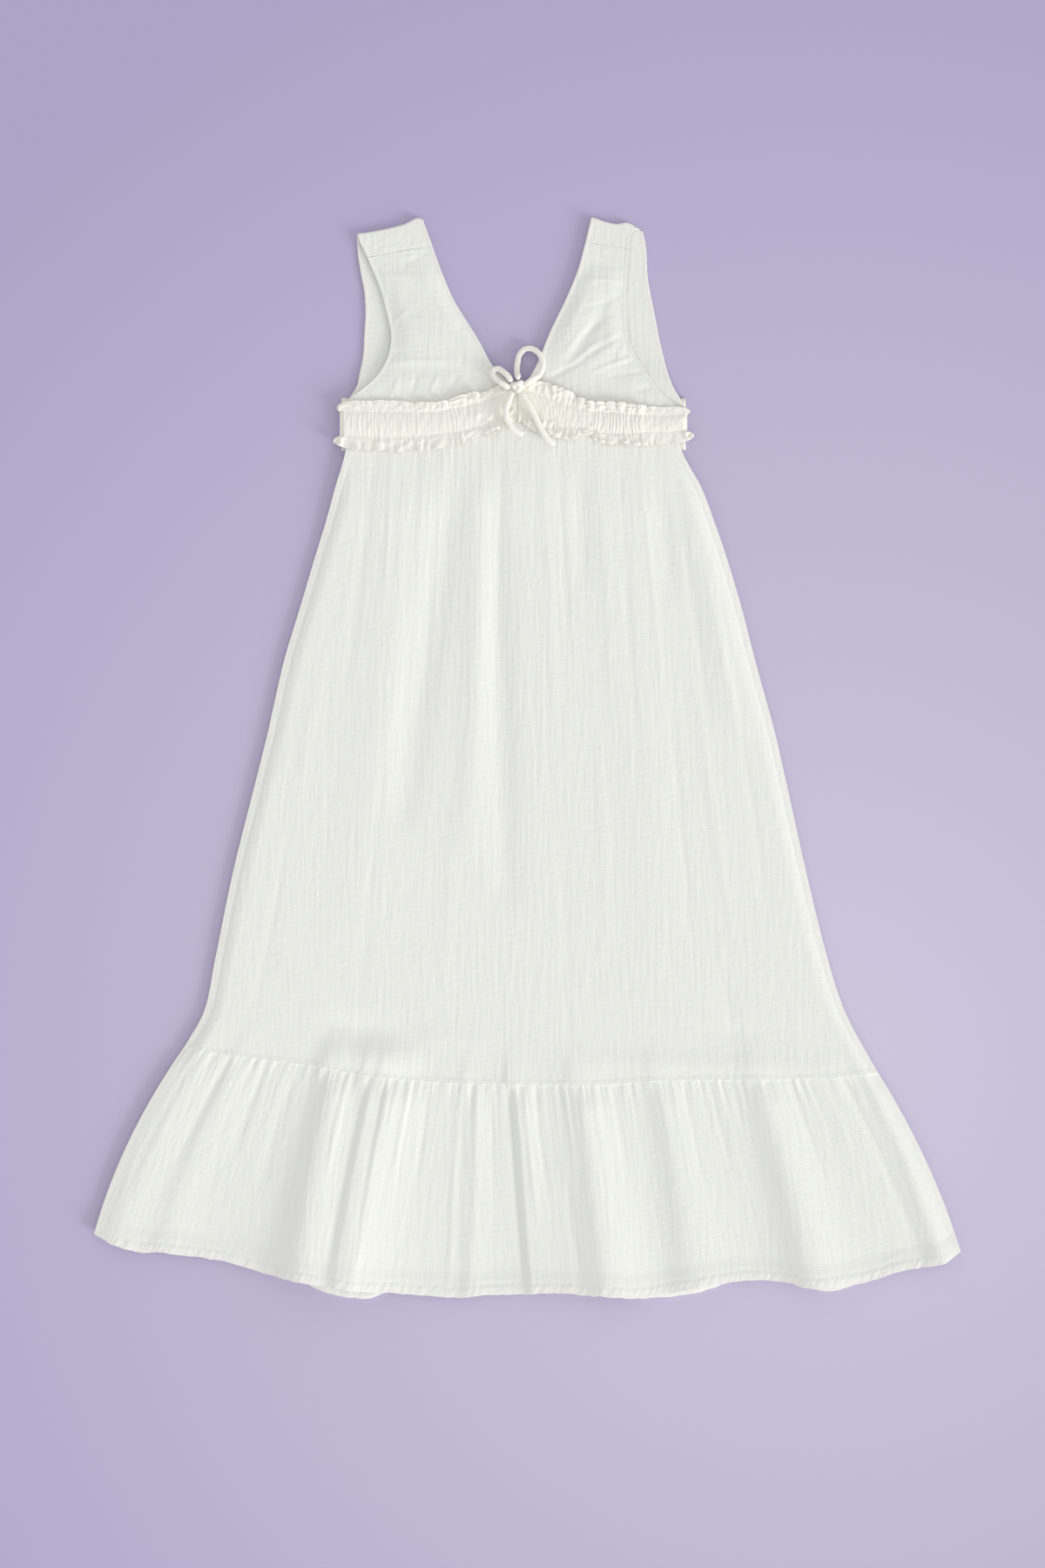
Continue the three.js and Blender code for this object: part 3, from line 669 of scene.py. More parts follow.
def finish_mesh(name, mesh, thread, material, flat=()):
    """Gives a mesh its thread coordinates and material, and links it as a piece that faces out."""
    corners = np.empty(len(mesh.loops), int)
    mesh.loops.foreach_get("vertex_index", corners)
    layer = mesh.uv_layers.new(name="thread")
    layer.data.foreach_set("uv", thread[corners].ravel())
    rounded = np.ones(len(mesh.polygons), bool)
    rounded[list(flat)] = False
    mesh.polygons.foreach_set("use_smooth", rounded)
    mesh.materials.append(material)
    piece = put(name, mesh)
    if signed_volume(mesh) < 0:
        mesh.flip_normals()
    mesh.update()
    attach(piece, "root")
    return piece


def signed_volume(mesh):
    mesh.calc_loop_triangles()
    points = np.empty(3 * len(mesh.vertices))
    mesh.vertices.foreach_get("co", points)
    corners = np.empty(3 * len(mesh.loop_triangles), int)
    mesh.loop_triangles.foreach_get("vertices", corners)
    a, b, c = points.reshape(-1, 3)[corners.reshape(-1, 3)].transpose(1, 0, 2)
    return float(np.einsum("ij,ij->", a, np.cross(b, c)))


# Materials
def socket_values(shader, values):
    for name, value in values.items():
        shader.inputs[name].default_value = value


def new_material(name, values):
    """A material with these values on its shader, with its nodes and links."""
    material = bpy.data.materials.new(name)
    material.use_nodes = True
    nodes, links = material.node_tree.nodes, material.node_tree.links
    shader = nodes["Principled BSDF"]
    socket_values(shader, values)
    return material, shader, nodes, links


def mix_colours(shader, nodes, links, share, first, second):
    """Colours a shader from first to second as share goes from 0 to 1."""
    mix = nodes.new("ShaderNodeMixRGB")
    socket_values(mix, {"Color1": (*first, 1), "Color2": (*second, 1)})
    links.new(share, mix.inputs["Fac"])
    links.new(mix.outputs["Color"], shader.inputs["Base Color"])


GAUZE = {"Roughness": 0.95, "Specular IOR Level": 0.12, "Sheen Weight": 0.1, "Sheen Roughness": 0.6}
MOTTLE = 0.955  # the darkest places of the gauze against its lightest


def gauze(name, base, streaks, dashes, weave):
    """Matt cotton gauze. Its lengthwise streaks, crosswise dashes and weave, each with a depth in metres,
    follow the threads, and its colour is a little uneven."""
    material, shader, nodes, links = new_material(name, GAUZE)
    thread = nodes.new("ShaderNodeUVMap")
    thread.uv_map = "thread"

    def stretched(scale_across, scale_along, detail, roughness):
        mapping = nodes.new("ShaderNodeMapping")
        mapping.inputs["Scale"].default_value = (scale_across, scale_along, 1)
        links.new(thread.outputs["UV"], mapping.inputs["Vector"])
        texture = nodes.new("ShaderNodeTexNoise")
        socket_values(texture, {"Scale": 1.0, "Detail": detail, "Roughness": roughness})
        links.new(mapping.outputs["Vector"], texture.inputs["Vector"])
        return texture.outputs["Fac"]

    def bump(height, distance, below=None):
        node = nodes.new("ShaderNodeBump")
        socket_values(node, {"Distance": distance, "Strength": 1.0})
        links.new(height, node.inputs["Height"])
        if below is not None:
            links.new(below, node.inputs["Normal"])
        return node.outputs["Normal"]

    normal = bump(stretched(260, 34, 3, 0.55), streaks)
    normal = bump(stretched(95, 300, 3, 0.6), dashes, normal)
    normal = bump(stretched(1500, 1500, 2, 0.7), weave, normal)
    links.new(normal, shader.inputs["Normal"])

    mottle = stretched(240, 50, 5, 0.65)
    mix_colours(shader, nodes, links, mottle, [c * MOTTLE for c in base], base)
    return material


def floor_material():
    """Plain lilac card. Its colour is lighter and paler towards the lower right: a painted pool of light,
    standing in for the window's light falling there.
    """
    card = {"Roughness": 0.9, "Specular IOR Level": 0.1}
    material, shader, nodes, links = new_material("lilac_surface", card)
    place = nodes.new("ShaderNodeTexCoord")
    middle = nodes.new("ShaderNodeMapping")
    middle.inputs["Location"].default_value = (-0.24, 0.26, 0)
    links.new(place.outputs["Object"], middle.inputs["Vector"])
    painted_light_pool = nodes.new("ShaderNodeTexGradient")
    painted_light_pool.gradient_type = "SPHERICAL"
    links.new(middle.outputs["Vector"], painted_light_pool.inputs["Vector"])
    # the card's colour outside the painted pool of light, and at its lit middle
    far, near = (0.446, 0.389, 0.603), (0.663, 0.611, 0.778)
    mix_colours(shader, nodes, links, painted_light_pool.outputs["Fac"], far, near)
    return material


# The bodice's gauze is a little greyer than the skirt's. This is painted shade: a darker copy of the same
# cloth, for the shade the bodice lay in further from the window's light
WHITE = gauze("muslin", (0.885, 0.895, 0.85), streaks=0.00045, dashes=0.0004, weave=0.00005)
# painted shade: the skirt's gauze, darkened for the bodice
BODICE_WHITE_PAINTED_SHADE = gauze("muslin_bodice_painted_shade", (0.86, 0.87, 0.825), streaks=0.00045, dashes=0.0004, weave=0.00005)
WHITE_BAND = gauze("muslin_band", (0.915, 0.895, 0.825), streaks=0.0003, dashes=0.0002, weave=0.00005)
CORD_COTTON = gauze("drawstring_cotton", (0.955, 0.94, 0.875), streaks=0.0002, dashes=0.0004, weave=0.0001)


# Skirt and flounce, which share their heights at the seam
SEAM_SHARE = 0.5  # how much of the flounce's folds is left at the seam itself
SKIRT_SEAM_FROM = 0.93  # the skirt rises to them over the last of its length
SEAM_REACH = 3.5  # the seam allowance inside lifts both edges by this ridge over this distance
SEAM_RIDGE = 0.45
GATHER_MEAN = 0.5  # the gathers rise this much on average just past the seam
SKIRT_WIDE, SKIRT_DEEP, FLOUNCE_DEEP = 430, 560, 185
SKIRT_EASE, FLOUNCE_EASE = 0.8, 0.6  # how much closer the rows lie at a piece's two ends
SIDE_SHARE = 0.03  # the flounce's folds fade out over this share of its width at each side seam
HEM_STITCH = 0.012  # the hem's step, as a share of the flounce's length to each side of its stitching
FREE_FROM = 0.13  # from here on the flounce no longer follows the height of its seam
SCALLOP_FROM = 0.9  # the hem's edge is uneven from here
FRONT_FULLNESS, BACK_FULLNESS = 1.15, 1.2  # how much wider the gathered cloth's threads lie than the piece


def seam_share(seam):
    """How far along the seam a place is, from 0 at the left to 1 at the right."""
    return (seam - SEAM_LEFT) / (SEAM_RIGHT - SEAM_LEFT)


def between_sides(seam):
    """1 along the flounce, and 0 at its side seams."""
    share = seam_share(seam)
    return step(0, SIDE_SHARE, np.minimum(share, 1 - share))


def in_hem(v):
    """0 above the stitching of the hem, and 1 below it."""
    return step(HEM_FROM - HEM_STITCH, HEM_FROM + HEM_STITCH, v)


def fold_heights(seam, v):
    """The flounce's large folds, narrower at the seam than at the hem."""
    x = thread_x(seam, v)
    height = np.zeros_like(x)
    for at, left, right, rise, crest in zip(*FLOUNCE_FOLDS.values()):
        away = x - thread_x(np.full_like(v, at), v)
        width = np.where(away < 0, left, right) * lerp(SEAM_WIDTH_SHARE, 1, v)
        height += lerp(rise, crest, v) * bell(away, width)
    return height * between_sides(seam)


def seam_height(u):
    """The height at which the skirt's front and the flounce meet."""
    x, y = skirt_plan(u, np.ones_like(u), True)
    folds = fold_heights(lerp(SEAM_LEFT, SEAM_RIGHT, u), np.zeros_like(u))
    lumps = 0.35 * (noise_along(x / 2.6, 19) - 0.5) * step(0, 6, skirt_side(x, y))
    return front_top(y) + skirt_relief(x, y) + SEAM_SHARE * folds + SEAM_RIDGE + lumps


def skirt_front():
    columns, rows = 720, 128
    u, v = grid(columns, rows)
    v = eased(v, SKIRT_EASE)
    x, y = skirt_plan(u, v, True)
    depth = SKIRT_DEEP * (1 - v)
    side = skirt_side(x, y)
    z = front_top(y) + skirt_relief(x, y)
    folds = SEAM_SHARE * fold_heights(lerp(SEAM_LEFT, SEAM_RIGHT, u), np.zeros_like(v))
    z = z + folds * step(SKIRT_SEAM_FROM, 1, v)
    detail = SKIRT_CREASING * fold_relief(SKIRT_CREASES, x, y)
    detail += crinkle(lerp(x, SKIRT_WIDE * (u - 0.5), 0.25), SKIRT_DEEP * v, 11, 0.4)
    gathers = ridge(noise(x / 3.4, y / 70, 17))
    detail += 0.55 * gathers * np.exp(-v / 0.07)
    detail -= 0.35 * bell(side - 6, 1.4) * step(0.02, 0.12, v)
    detail = detail * step(0, 3, side)
    z = lerp(seam_height(u), z, step(0, SEAM_REACH, depth))
    detail = detail * step(0, SEAM_REACH, depth)
    fine = stack(x, y, z + detail)
    coarse = underside(x, y, z, detail, 4, 8, THIN)
    return shell("skirt_front_gauze", fine, coarse, threads(x, y), WHITE, seams=("last",))


def skirt_back():
    columns, rows = 240, 120
    u, v = grid(columns, rows)
    x, y = skirt_plan(u, v, False)
    side = skirt_side(x, y) - BACK_INSET
    creases = fold_relief(SKIRT_CREASES, -x, y)
    dents = np.maximum(0, 0.2 + crinkle(x, SKIRT_DEEP * v, 31, 0.8) + 0.35 * creases)
    fine = stack(x, y, back_lift(y) + dents * step(0, 4, side))
    coarse = stack(x, y, back_lift(y) + CLOTH)[::4, ::4]
    return shell("skirt_back_gauze", fine, coarse, threads(x, y), WHITE)


# Flounce
def flounce_plan(u, v, front):
    seam_x, seam_y = skirt_plan(u, np.ones_like(u), front)
    hem_x = grain(seam_x, "hem")
    hem = smooth(HEM, "x", "y", hem_x) - (0 if front else smooth(HEM, "x", "back", hem_x))
    return seam_x, thread_x(seam_x, v), lerp(seam_y, hem, v)


def flounce_creases(seam, v):
    x = thread_x(seam, v)
    height = np.zeros_like(x)
    for at, drift, start, end, wide, rise in zip(*FLOUNCE_CREASES.values()):
        away = x - thread_x(np.full_like(v, at), v) - drift * v * v
        length = step(start - 0.08, start + 0.08, v) * (1 - step(end - 0.12, end + 0.12, v))
        height += rise * length * bell(away, wide * lerp(0.8, 1.25, v))
    return height


def flounce_gathers(seam, v, seed):
    """Gathers packed at the seam, of uneven width and reach, with finer puckers among them."""
    share = seam_share(seam)
    uneven = 0.35 * np.sin(23 * share) + 0.25 * np.sin(57 * share)
    wave = 0.5 - 0.5 * np.cos(2 * np.pi * (share * FLOUNCE_GATHERS + uneven))
    reach = 0.06 + 0.2 * noise_along(share * FLOUNCE_GATHERS * 0.8, seed) ** 1.5
    height = 0.6 * wave * np.exp(-v / reach)
    pucker = ridge(noise(share * 170 + 0.6 * noise(share * 60, v * 4, seed + 3), v * 2.5, seed + 1))
    height += 0.6 * pucker * np.exp(-v / (0.04 + 0.14 * noise_along(share * 60, seed + 2)))
    return height * step(0, SEAM_REACH, FLOUNCE_DEEP * v)


def flounce_front():
    columns, rows = 720, 120
    u, v = grid(columns, rows)
    v = eased(v, FLOUNCE_EASE)
    seam, x, y = flounce_plan(u, v, True)
    depth = FLOUNCE_DEEP * v
    base = CLOTH + LAYER_GAP + FLOUNCE_CLOTH + 0.6 * skirt_relief(seam * 0.99, flounce_seam(seam))
    low = base + (HEM_CLOTH - CLOTH) * step(0.88, HEM_FROM, v) + fold_heights(seam, v)
    start = seam_height(u) - (SEAM_RIDGE + GATHER_MEAN) * step(0, SEAM_REACH, depth)
    z = lerp(start, low, step(0, FREE_FROM, v))

    detail = CREASING * flounce_creases(seam, v) * step(0, 0.06, v) + flounce_gathers(seam, v, 41)
    detail += crinkle(seam * lerp(1, 1.15, v), depth, 43, 0.45) * step(0, SEAM_REACH, depth)
    hem = in_hem(v)
    pucker = ridge(noise(x / 2.6 + 0.5 * depth / 3, depth / 12, 47))
    detail = detail * (1 - 0.6 * hem) + hem * (0.3 + 0.5 * pucker)
    detail -= 0.28 * bell(v - HEM_FROM, HEM_STITCH)
    detail *= 0.3 + 0.7 * between_sides(seam)
    scallop = 0.9 * (noise_along(x / 5.5, 53) - 0.5) + 1.3 * (noise_along(x / 17, 54) - 0.5)
    scallop = scallop * step(SCALLOP_FROM, 1, v)
    fine = stack(x, y + scallop, z + detail)
    coarse = underside(x, y + scallop, z, detail, 4, 4, THIN + 0.2)
    thread = threads(seam * FRONT_FULLNESS, depth)
    return shell("flounce_front_gauze", fine, coarse, thread, WHITE, seams=("first",))


def flounce_back():
    columns, rows = 480, 60
    u, v = grid(columns, rows)
    seam, x, y = flounce_plan(u, v, False)
    depth = FLOUNCE_DEEP * v
    dents = 0.9 * flounce_gathers(seam, v, 61) + 0.6 * crinkle(seam, depth, 63)
    hem = in_hem(v)
    dents = np.clip(dents, 0, 1.1) * (1 - hem)
    scallop = 1.2 * (noise_along(x / 6, 67) - 0.5) * step(SCALLOP_FROM, 1, v)
    fine = stack(x, y + scallop, dents * step(0, 0.01, np.minimum(u, 1 - u)))
    u2, v2 = grid(columns // 2, rows // 2)
    x2, y2 = flounce_plan(u2, v2, False)[1:]
    hem2 = in_hem(v2)
    pucker = 0.4 * ridge(noise_along(x2 / 3, 71)) * hem2
    coarse = stack(x2, y2 + scallop[::2, ::2], CLOTH + (HEM_CLOTH - CLOTH) * hem2 - pucker)
    return shell("flounce_back_gauze", fine, coarse, threads(seam * BACK_FULLNESS, depth), WHITE)


# Bodice
STRAP_FRONT_Z = CLOTH + 2 * FOLD_INSIDE
EDGE_WIDE = 3.2
EDGE_FLAT = 5  # the crinkles fade out this near to an edge
STRAP_FROM, CUP_END, STRAP_FULL = 380, 395, 415  # where the cup's fullness turns into the flat strap
LEFT = {
    "neck": LEFT_NECK, "armhole": LEFT_ARMHOLE, "fold": LEFT_FOLD, "shoulder": LEFT_SHOULDER,
    "folds": LEFT_CUP_FOLDS, "creases": LEFT_CUP_CREASES, "band": BAND_LEFT, "side": 1, "name": "left",
    "cut": {
        "back": (0.145, 0.200), "back_area": 0.0175,
        "front": (0.145, 0.152), "front_area": 0.0126, "band": (0.210, 0.043),
    },
}
RIGHT = {
    "neck": RIGHT_NECK, "armhole": RIGHT_ARMHOLE, "fold": RIGHT_FOLD, "shoulder": RIGHT_SHOULDER,
    "folds": RIGHT_CUP_FOLDS, "creases": RIGHT_CUP_CREASES, "band": BAND_RIGHT, "side": -1, "name": "right",
    "cut": {
        "back": (0.140, 0.200), "back_area": 0.0163,
        "front": (0.137, 0.154), "front_area": 0.0114, "band": (0.200, 0.041),
    },
}


def neck_x(half, y):
    return smooth(half["neck"], "y", "x", y)


def armhole_x(half, y, layer):
    return smooth(half["armhole"], "y", layer, y)


def bodice_plan(half, u, v, layer, top_outer, top_inner):
    side_x = half["armhole"][layer][0]
    waist_x = lerp(side_x, CENTRE_X - half["side"] * SEAM_GAP, u)
    bottom = waist_seam(waist_x) if layer == "front" else WAIST_Y + 0 * u
    y = lerp(bottom, lerp(top_outer, top_inner, u), v)
    inner = neck_x(half, np.maximum(y, half["neck"]["y"][0]))
    return lerp(armhole_x(half, y, layer), inner, u), y


def bodice_sides(half, x, y, layer):
    """How far a point is from the armhole edge and from the neckline."""
    side = half["side"]
    return (x - armhole_x(half, y, layer)) * side, (neck_x(half, y) - x) * side


def turned_edge(distance):
    """A turned and stitched edge: a little thicker, with a shallow ditch at its stitching."""
    thick = 0.22 * (1 - step(EDGE_WIDE - 1, EDGE_WIDE + 0.8, distance))
    return thick - 0.08 * bell(distance - EDGE_WIDE, 0.8)


def cross_crinkle(x, y, seed, strength):
    """Faint crosswise crinkles of the bodice, which make a grid with the lengthwise ones."""
    return strength * (noise(x / 13, y / 2.2, seed) + 0.6 * noise(x / 7, y / 1.5, seed + 1) - 0.8)


def bodice_front(half):
    columns, rows = 132, 160
    outer, inner = half["shoulder"]
    u, v = grid(columns, rows)
    x, y = bodice_plan(half, u, v, "front", outer, inner)
    strap = step(STRAP_FROM, STRAP_FULL, y)
    base = lerp(front_top(y), STRAP_FRONT_Z + CLOTH, strap)
    from_arm, from_neck = bodice_sides(half, x, y, "front")
    edge = np.minimum(from_arm, from_neck)
    fade = step(0, EDGE_FADE, edge) * (1 - step(CUP_END, STRAP_FULL, y)) * from_waist(x, y)
    z = base + np.maximum(0, (CUP_PUFF + CUP_FOLDING * fold_relief(half["folds"], x, y)) * fade)

    detail = CREASING * fold_relief(half["creases"], x, y) * step(2, 8, edge)
    detail += crinkle(x, y, 81 + half["side"], 0.42) + cross_crinkle(x, y, 87 + half["side"], 0.19)
    gathers = ridge(noise(x / 3.2, y / 60, 85))
    detail += 0.6 * gathers * np.exp(-np.maximum(y - waist_seam(x) - 16, 0) / 7)
    detail = detail * step(0, EDGE_FLAT, edge) + turned_edge(from_neck) + turned_edge(from_arm)
    detail -= 0.07 * bell(lerp(outer, inner, u) - y, 1.2)
    fine = stack(x, y, z + detail)
    coarse = underside(x, y, z, detail, 4, 4, THIN)
    name = f"bodice_front_{half['name']}_gauze"
    return shell(name, fine, coarse, threads(x, y), BODICE_WHITE_PAINTED_SHADE, seams=("last",))


def bodice_back(half):
    """The back half with its strap: up under the front, over the top fold, and down to the shoulder seam."""
    columns, under, turn_rows, over = 72, 120, 12, 24
    radius = FOLD_INSIDE + CLOTH
    u = np.linspace(0, 1, columns + 1)[None, :]
    fold_y = smooth(half["fold"], "u", "y", u) - radius
    outer, inner = half["shoulder"]
    seam = lerp(outer, inner, u)

    def across(y, layer):
        return lerp(armhole_x(half, y, layer), neck_x(half, y), u)

    v = np.linspace(0, 1, under + 1)[:, None]
    x1, y1 = bodice_plan(half, u + 0 * v, v + 0 * u, "back", fold_y, fold_y)
    angle = np.pi * np.arange(1, turn_rows)[:, None] / turn_rows
    x2 = lerp(across(fold_y, "back"), across(fold_y, "front"), angle / np.pi)
    w = np.linspace(0, 1, over + 1)[:, None]
    y3 = lerp(fold_y, seam, w)
    x3 = across(y3, "front")
    lift = back_lift(y1)
    crease1 = crinkle(x1, y1, 91 + half["side"], 0.5) + cross_crinkle(x1, y1, 93, 0.12)
    crease3 = crinkle(x3, y3, 95 + half["side"], 0.5) + cross_crinkle(x3, y3, 97, 0.18)
    from_arm, from_neck = bodice_sides(half, x1, y1, "back")
    edge1 = step(0, EDGE_FLAT, np.minimum(from_arm, from_neck))
    from_arm3, from_neck3 = bodice_sides(half, x3, y3, "front")
    edge3 = step(0, EDGE_FLAT, np.minimum(from_arm3, from_neck3))
    inner_turn = lerp(FOLD_INSIDE, radius - THIN, angle / np.pi)

    def face(outside):
        """Points of the outer face, which the surface touches, or of the inner one."""
        first = radius if outside else FOLD_INSIDE
        turn = radius if outside else inner_turn
        last = radius if outside else radius - THIN
        if outside:
            z1 = lift + np.maximum(0, crease1 + 0.2) * edge1
        else:
            z1 = lift + CLOTH + crease1 * edge1 + 0.5 * turned_edge(from_arm)
        z1 = lerp(z1, radius - first, step(0.96, 1, v))
        y2 = fold_y + turn * np.sin(angle)
        z2 = radius - turn * np.cos(angle)
        surface = 0
        if outside:
            surface = crease3 * edge3 + turned_edge(from_neck3) + turned_edge(from_arm3)
            surface = surface - 0.07 * bell(y3 - seam, 1)
        z3 = radius + last + surface * step(0, 0.2, w)
        return np.concatenate([stack(x1, y1, z1), stack(x2, y2, z2), stack(x3, y3, z3)])

    length = np.concatenate([y1, fold_y + 2 * angle, 2 * fold_y + 6 - y3])
    thread = threads(np.concatenate([x1, x2, x3]), length)
    name = f"bodice_back_{half['name']}_gauze"
    return shell(name, face(True), face(False), thread, BODICE_WHITE_PAINTED_SHADE, seams=("last",))


# Waistband
RUFFLE_LIFT = 2.7
RIB_PITCH, FINE_RIB_PITCH, BACK_RIB_PITCH = 3.3, 1.9, 3.2
LEFT_LOBE, RIGHT_LOBE = 10.2, 8.6  # the length of a ruffle's wave
CASING_SHARE = 1 / 3  # of the strip's width
BAND_FULLNESS, BACK_BAND_FULLNESS = 1.6, 1.8
SMOOTH_FROM = 34  # the right half's last stretch at the side lies smooth
SHIRRED_X = 84  # and its casing is deepest here
CURLS = table("""
x       y      radius  rise
-158    263.5  4.4     1.9
-158.5  291.5  2.8     1.3
-158    285    2.6     1.1
-33     307    4.4     1.6
-38     282    6       0.6
-26     282    7       0.8
-14.5   291    4.6     1.4
-15     277    6       0.9
-2      283    6       0.9
9       279    6.5     1
22      274    7       0.7
47      293    7       0.5
54      270    7       0.7
134.5   268.5  4       1.8
133.5   284.5  3       1.3
""")


def curls(x, y):
    """Ruffle edges that curl round into small rings, and the free corners at the sides."""
    total = np.zeros_like(x)
    for cx, cy, radius, rise in zip(*CURLS.values()):
        away = np.hypot(x - cx, y - cy)
        total += rise * (bell(away - 0.75 * radius, 0.35 * radius) - 0.5 * bell(away, 0.4 * radius))
    return total


def ruffle(left, top, out, width, travel, free, seed):
    """A ruffle's waves, from the casing to its free edge: how far they reach, sway along it and rise."""
    edge = np.where(top, 1.0, 0.0)
    if left:
        # the upper ruffle lies folded down at the side, and the lower one low along most of the skirt
        life = np.where(top, 0.2 + 0.7 * step(45, 85, travel), 0.5 + 0.5 * step(95, 130, travel))
        lobe = LEFT_LOBE
    else:
        life = 0.15 + 0.95 * step(SMOOTH_FROM - 8, SMOOTH_FROM + 8, travel)
        lobe = RIGHT_LOBE
    beat = travel / lobe + 1.7 * noise(travel / 13, 7 * edge, seed) + 0.45 * edge
    phase = 2 * np.pi * beat
    crest = 0.5 + 0.5 * np.cos(phase)
    size = life * (0.45 + 0.85 * noise(travel / 9, 5 * edge, seed + 1)) * (0.45 + 0.55 * free)
    reach = width * out * (1 - 0.08 * size) + 2.6 * size * out**1.6 * (crest - 0.45)
    sway = 2.2 * size * out**1.2 * np.sin(phase)
    lift = size * (RUFFLE_LIFT * crest * out**1.1 + 0.5 * out * np.sin(phase))
    winding = ridge(noise(travel / 4.4, out * 2.4 + 9 * edge, seed + 2)) ** 2
    return reach, sway, lift, 1.3 * life * winding * step(0.05, 0.4, out)


def shirring(left, x, across, pulled, travel, seed):
    """The ribs of the shirred casing, deeper in some stretches than in others."""
    wander = 1.2 * noise(pulled / 14, across * 0.9, seed + 3)
    wander += 0.8 * noise(pulled / 5, across * 2.2, seed + 10)
    rib = 0.5 - 0.5 * np.cos(2 * np.pi * (pulled / RIB_PITCH + wander))
    fine_rib = ridge(noise(pulled / FINE_RIB_PITCH, across * 1.3, seed + 7))
    if left:
        deep = 0.06 + 0.32 * noise(travel / 16, across + 3, seed + 4) + 0.25 * step(100, 135, travel)
    else:
        deep = 0.14 + 0.34 * noise(travel / 16, across + 3, seed + 4) + 0.3 * bell(x - SHIRRED_X, 14)
        deep = deep * (0.2 + 0.9 * step(SMOOTH_FROM - 6, SMOOTH_FROM + 6, travel))
    return deep * (0.8 * rib + 0.5 * fine_rib)


def band(half):
    """Half the front band: a shirred casing between two ruffles that meander, in one strip."""
    rows_of, seed, left = half["band"], 210 - 10 * half["side"], half["side"] > 0
    columns, rows = 440, 72
    first, last = rows_of["x"][0], rows_of["x"][-1]
    side_x, knot_x = (first, last) if left else (last, first)
    u, w = grid(columns, rows)
    across = 2 * w - 1
    x = lerp(first, last, u)
    casing, upper, lower, mid = (smooth(rows_of, "x", c, x) for c in ("casing", "upper", "lower", "mid"))
    slope = (smooth(rows_of, "x", "mid", x + 1) - smooth(rows_of, "x", "mid", x - 1)) / 2
    turn = 1 / np.hypot(1, slope)
    travel, from_knot = np.abs(x - side_x), np.abs(x - knot_x)
    free = step(BAND_PINCH, BAND_PINCH_END, from_knot)

    # across runs from -1 at the lower free edge to 1 at the upper one, with the casing in the middle third
    inside = np.clip(across / CASING_SHARE, -1, 1)
    out = np.clip((np.abs(across) - CASING_SHARE) / (1 - CASING_SHARE), 0, 1)
    top = across > 0
    reach, sway, lift, lumps = ruffle(left, top, out, np.where(top, upper, lower), travel, free, seed)
    lumps += 0.5 * (noise(travel / 2.6, across * 5, seed + 6) - 0.5)

    # the ribs fan out near the knot
    pulled = travel - 0.9 * (1 - step(6, 42, from_knot)) * inside * casing
    ribs = shirring(left, x, across, pulled, travel, seed) * (1 - out) ** 1.6 * (0.4 + 0.6 * free)
    swell = 0.75 + 0.5 * noise_along(travel / 14, seed + 8)
    puff = 0.6 * CASING_RISE * swell * np.maximum(0, 1 - inside**2) * (out == 0) * (0.25 + 0.75 * free)
    stitch = 0.2 * noise(travel / 5, 7.0 * top, seed + 9) * bell((np.abs(across) - CASING_SHARE) * 30, 1)

    drop = BAND_END_DROP * (1 - step(0, BAND_END_CURL, travel))
    flare = BAND_END_FLARE * (0.7 * np.sin(np.pi * out**0.85) + 0.5 * out)
    flare = flare * np.where(top, 0.5, 1.0) * (1 - step(0, BAND_FLARE_FROM, travel))
    corner = 1 - 0.35 * out * (1 - np.sqrt(np.clip(travel / 7, 0, 1)))
    offset = inside * casing + np.sign(across) * reach * corner
    offset = offset + 1.2 * (noise(travel / 7, across * 1.5, seed + 5) - 0.5)
    lean = BAND_LEAN * slope * turn * offset * step(0, BAND_UPRIGHT_END, from_knot)
    away = math.copysign(1, side_x)
    px = x - lean + away * flare - away * sway * step(2, 12, from_knot)
    py = mid + turn * offset
    z = FRONT_BAND_Z + CLOTH - drop + puff
    detail = ribs + lift + lumps - stitch + curls(px, py)
    fine = stack(px, py, z + detail)
    under = stack(px, py, z + 0.75 * lift - puff * 0.8 - 1.3 * stitch - THIN)[::2, ::2]
    thread = threads(travel * BAND_FULLNESS, 50 * w)
    return shell(f"waistband_front_{half['name']}_gauze", fine, under, thread, WHITE_BAND)


BACK_BAND = {"left": -155, "right": 132, "half": 21, "scallops": 14}


def back_band():
    columns, rows = 440, 32
    u, w = grid(columns, rows)
    across = 2 * w - 1
    x = lerp(BACK_BAND["left"], BACK_BAND["right"], u)
    edge = step(0.85, 1, np.abs(across))
    scallop = 1.2 * np.sin(2 * np.pi * BACK_BAND["scallops"] * u + 3 * noise(x / 20, across, 101)) * edge
    y = WAIST_Y + across * BACK_BAND["half"] + np.sign(across) * scallop
    rib = np.abs(np.sin(np.pi * (x / BACK_RIB_PITCH + noise(x / 6, across * 2, 103))))
    dents = 0.6 * (1 - rib) * step(0, 0.08, 1 - np.abs(across)) + 0.5 * bell(np.abs(across) - 0.5, 0.04)
    fine = stack(x, y, dents)
    coarse = stack(x, y, BACK_BAND_CLOTH)[::4, ::4]
    thread = threads((x - x.min()) * BACK_BAND_FULLNESS, 45 * w)
    return shell("waistband_back_gauze", fine, coarse, thread, WHITE_BAND)


# Bow
def knot_exit(degrees):
    angle = math.radians(degrees)
    way = Vector((math.cos(angle), math.sin(angle), KNOT_RISE)).normalized()
    reach = 1 / math.hypot(way.x / KNOT["wide"], way.y / KNOT["deep"], way.z / KNOT["high"])
    centre = Vector((KNOT["x"], KNOT["y"], KNOT["z"]))
    return [centre + way * (reach + SEAM_GAP), centre + way * (reach + SEAM_GAP + KNOT_STUB)]


def travelled(path):
    """How far along a path each of its points lies."""
    return np.concatenate([[0], np.cumsum(np.linalg.norm(np.diff(path, axis=0), axis=1))])


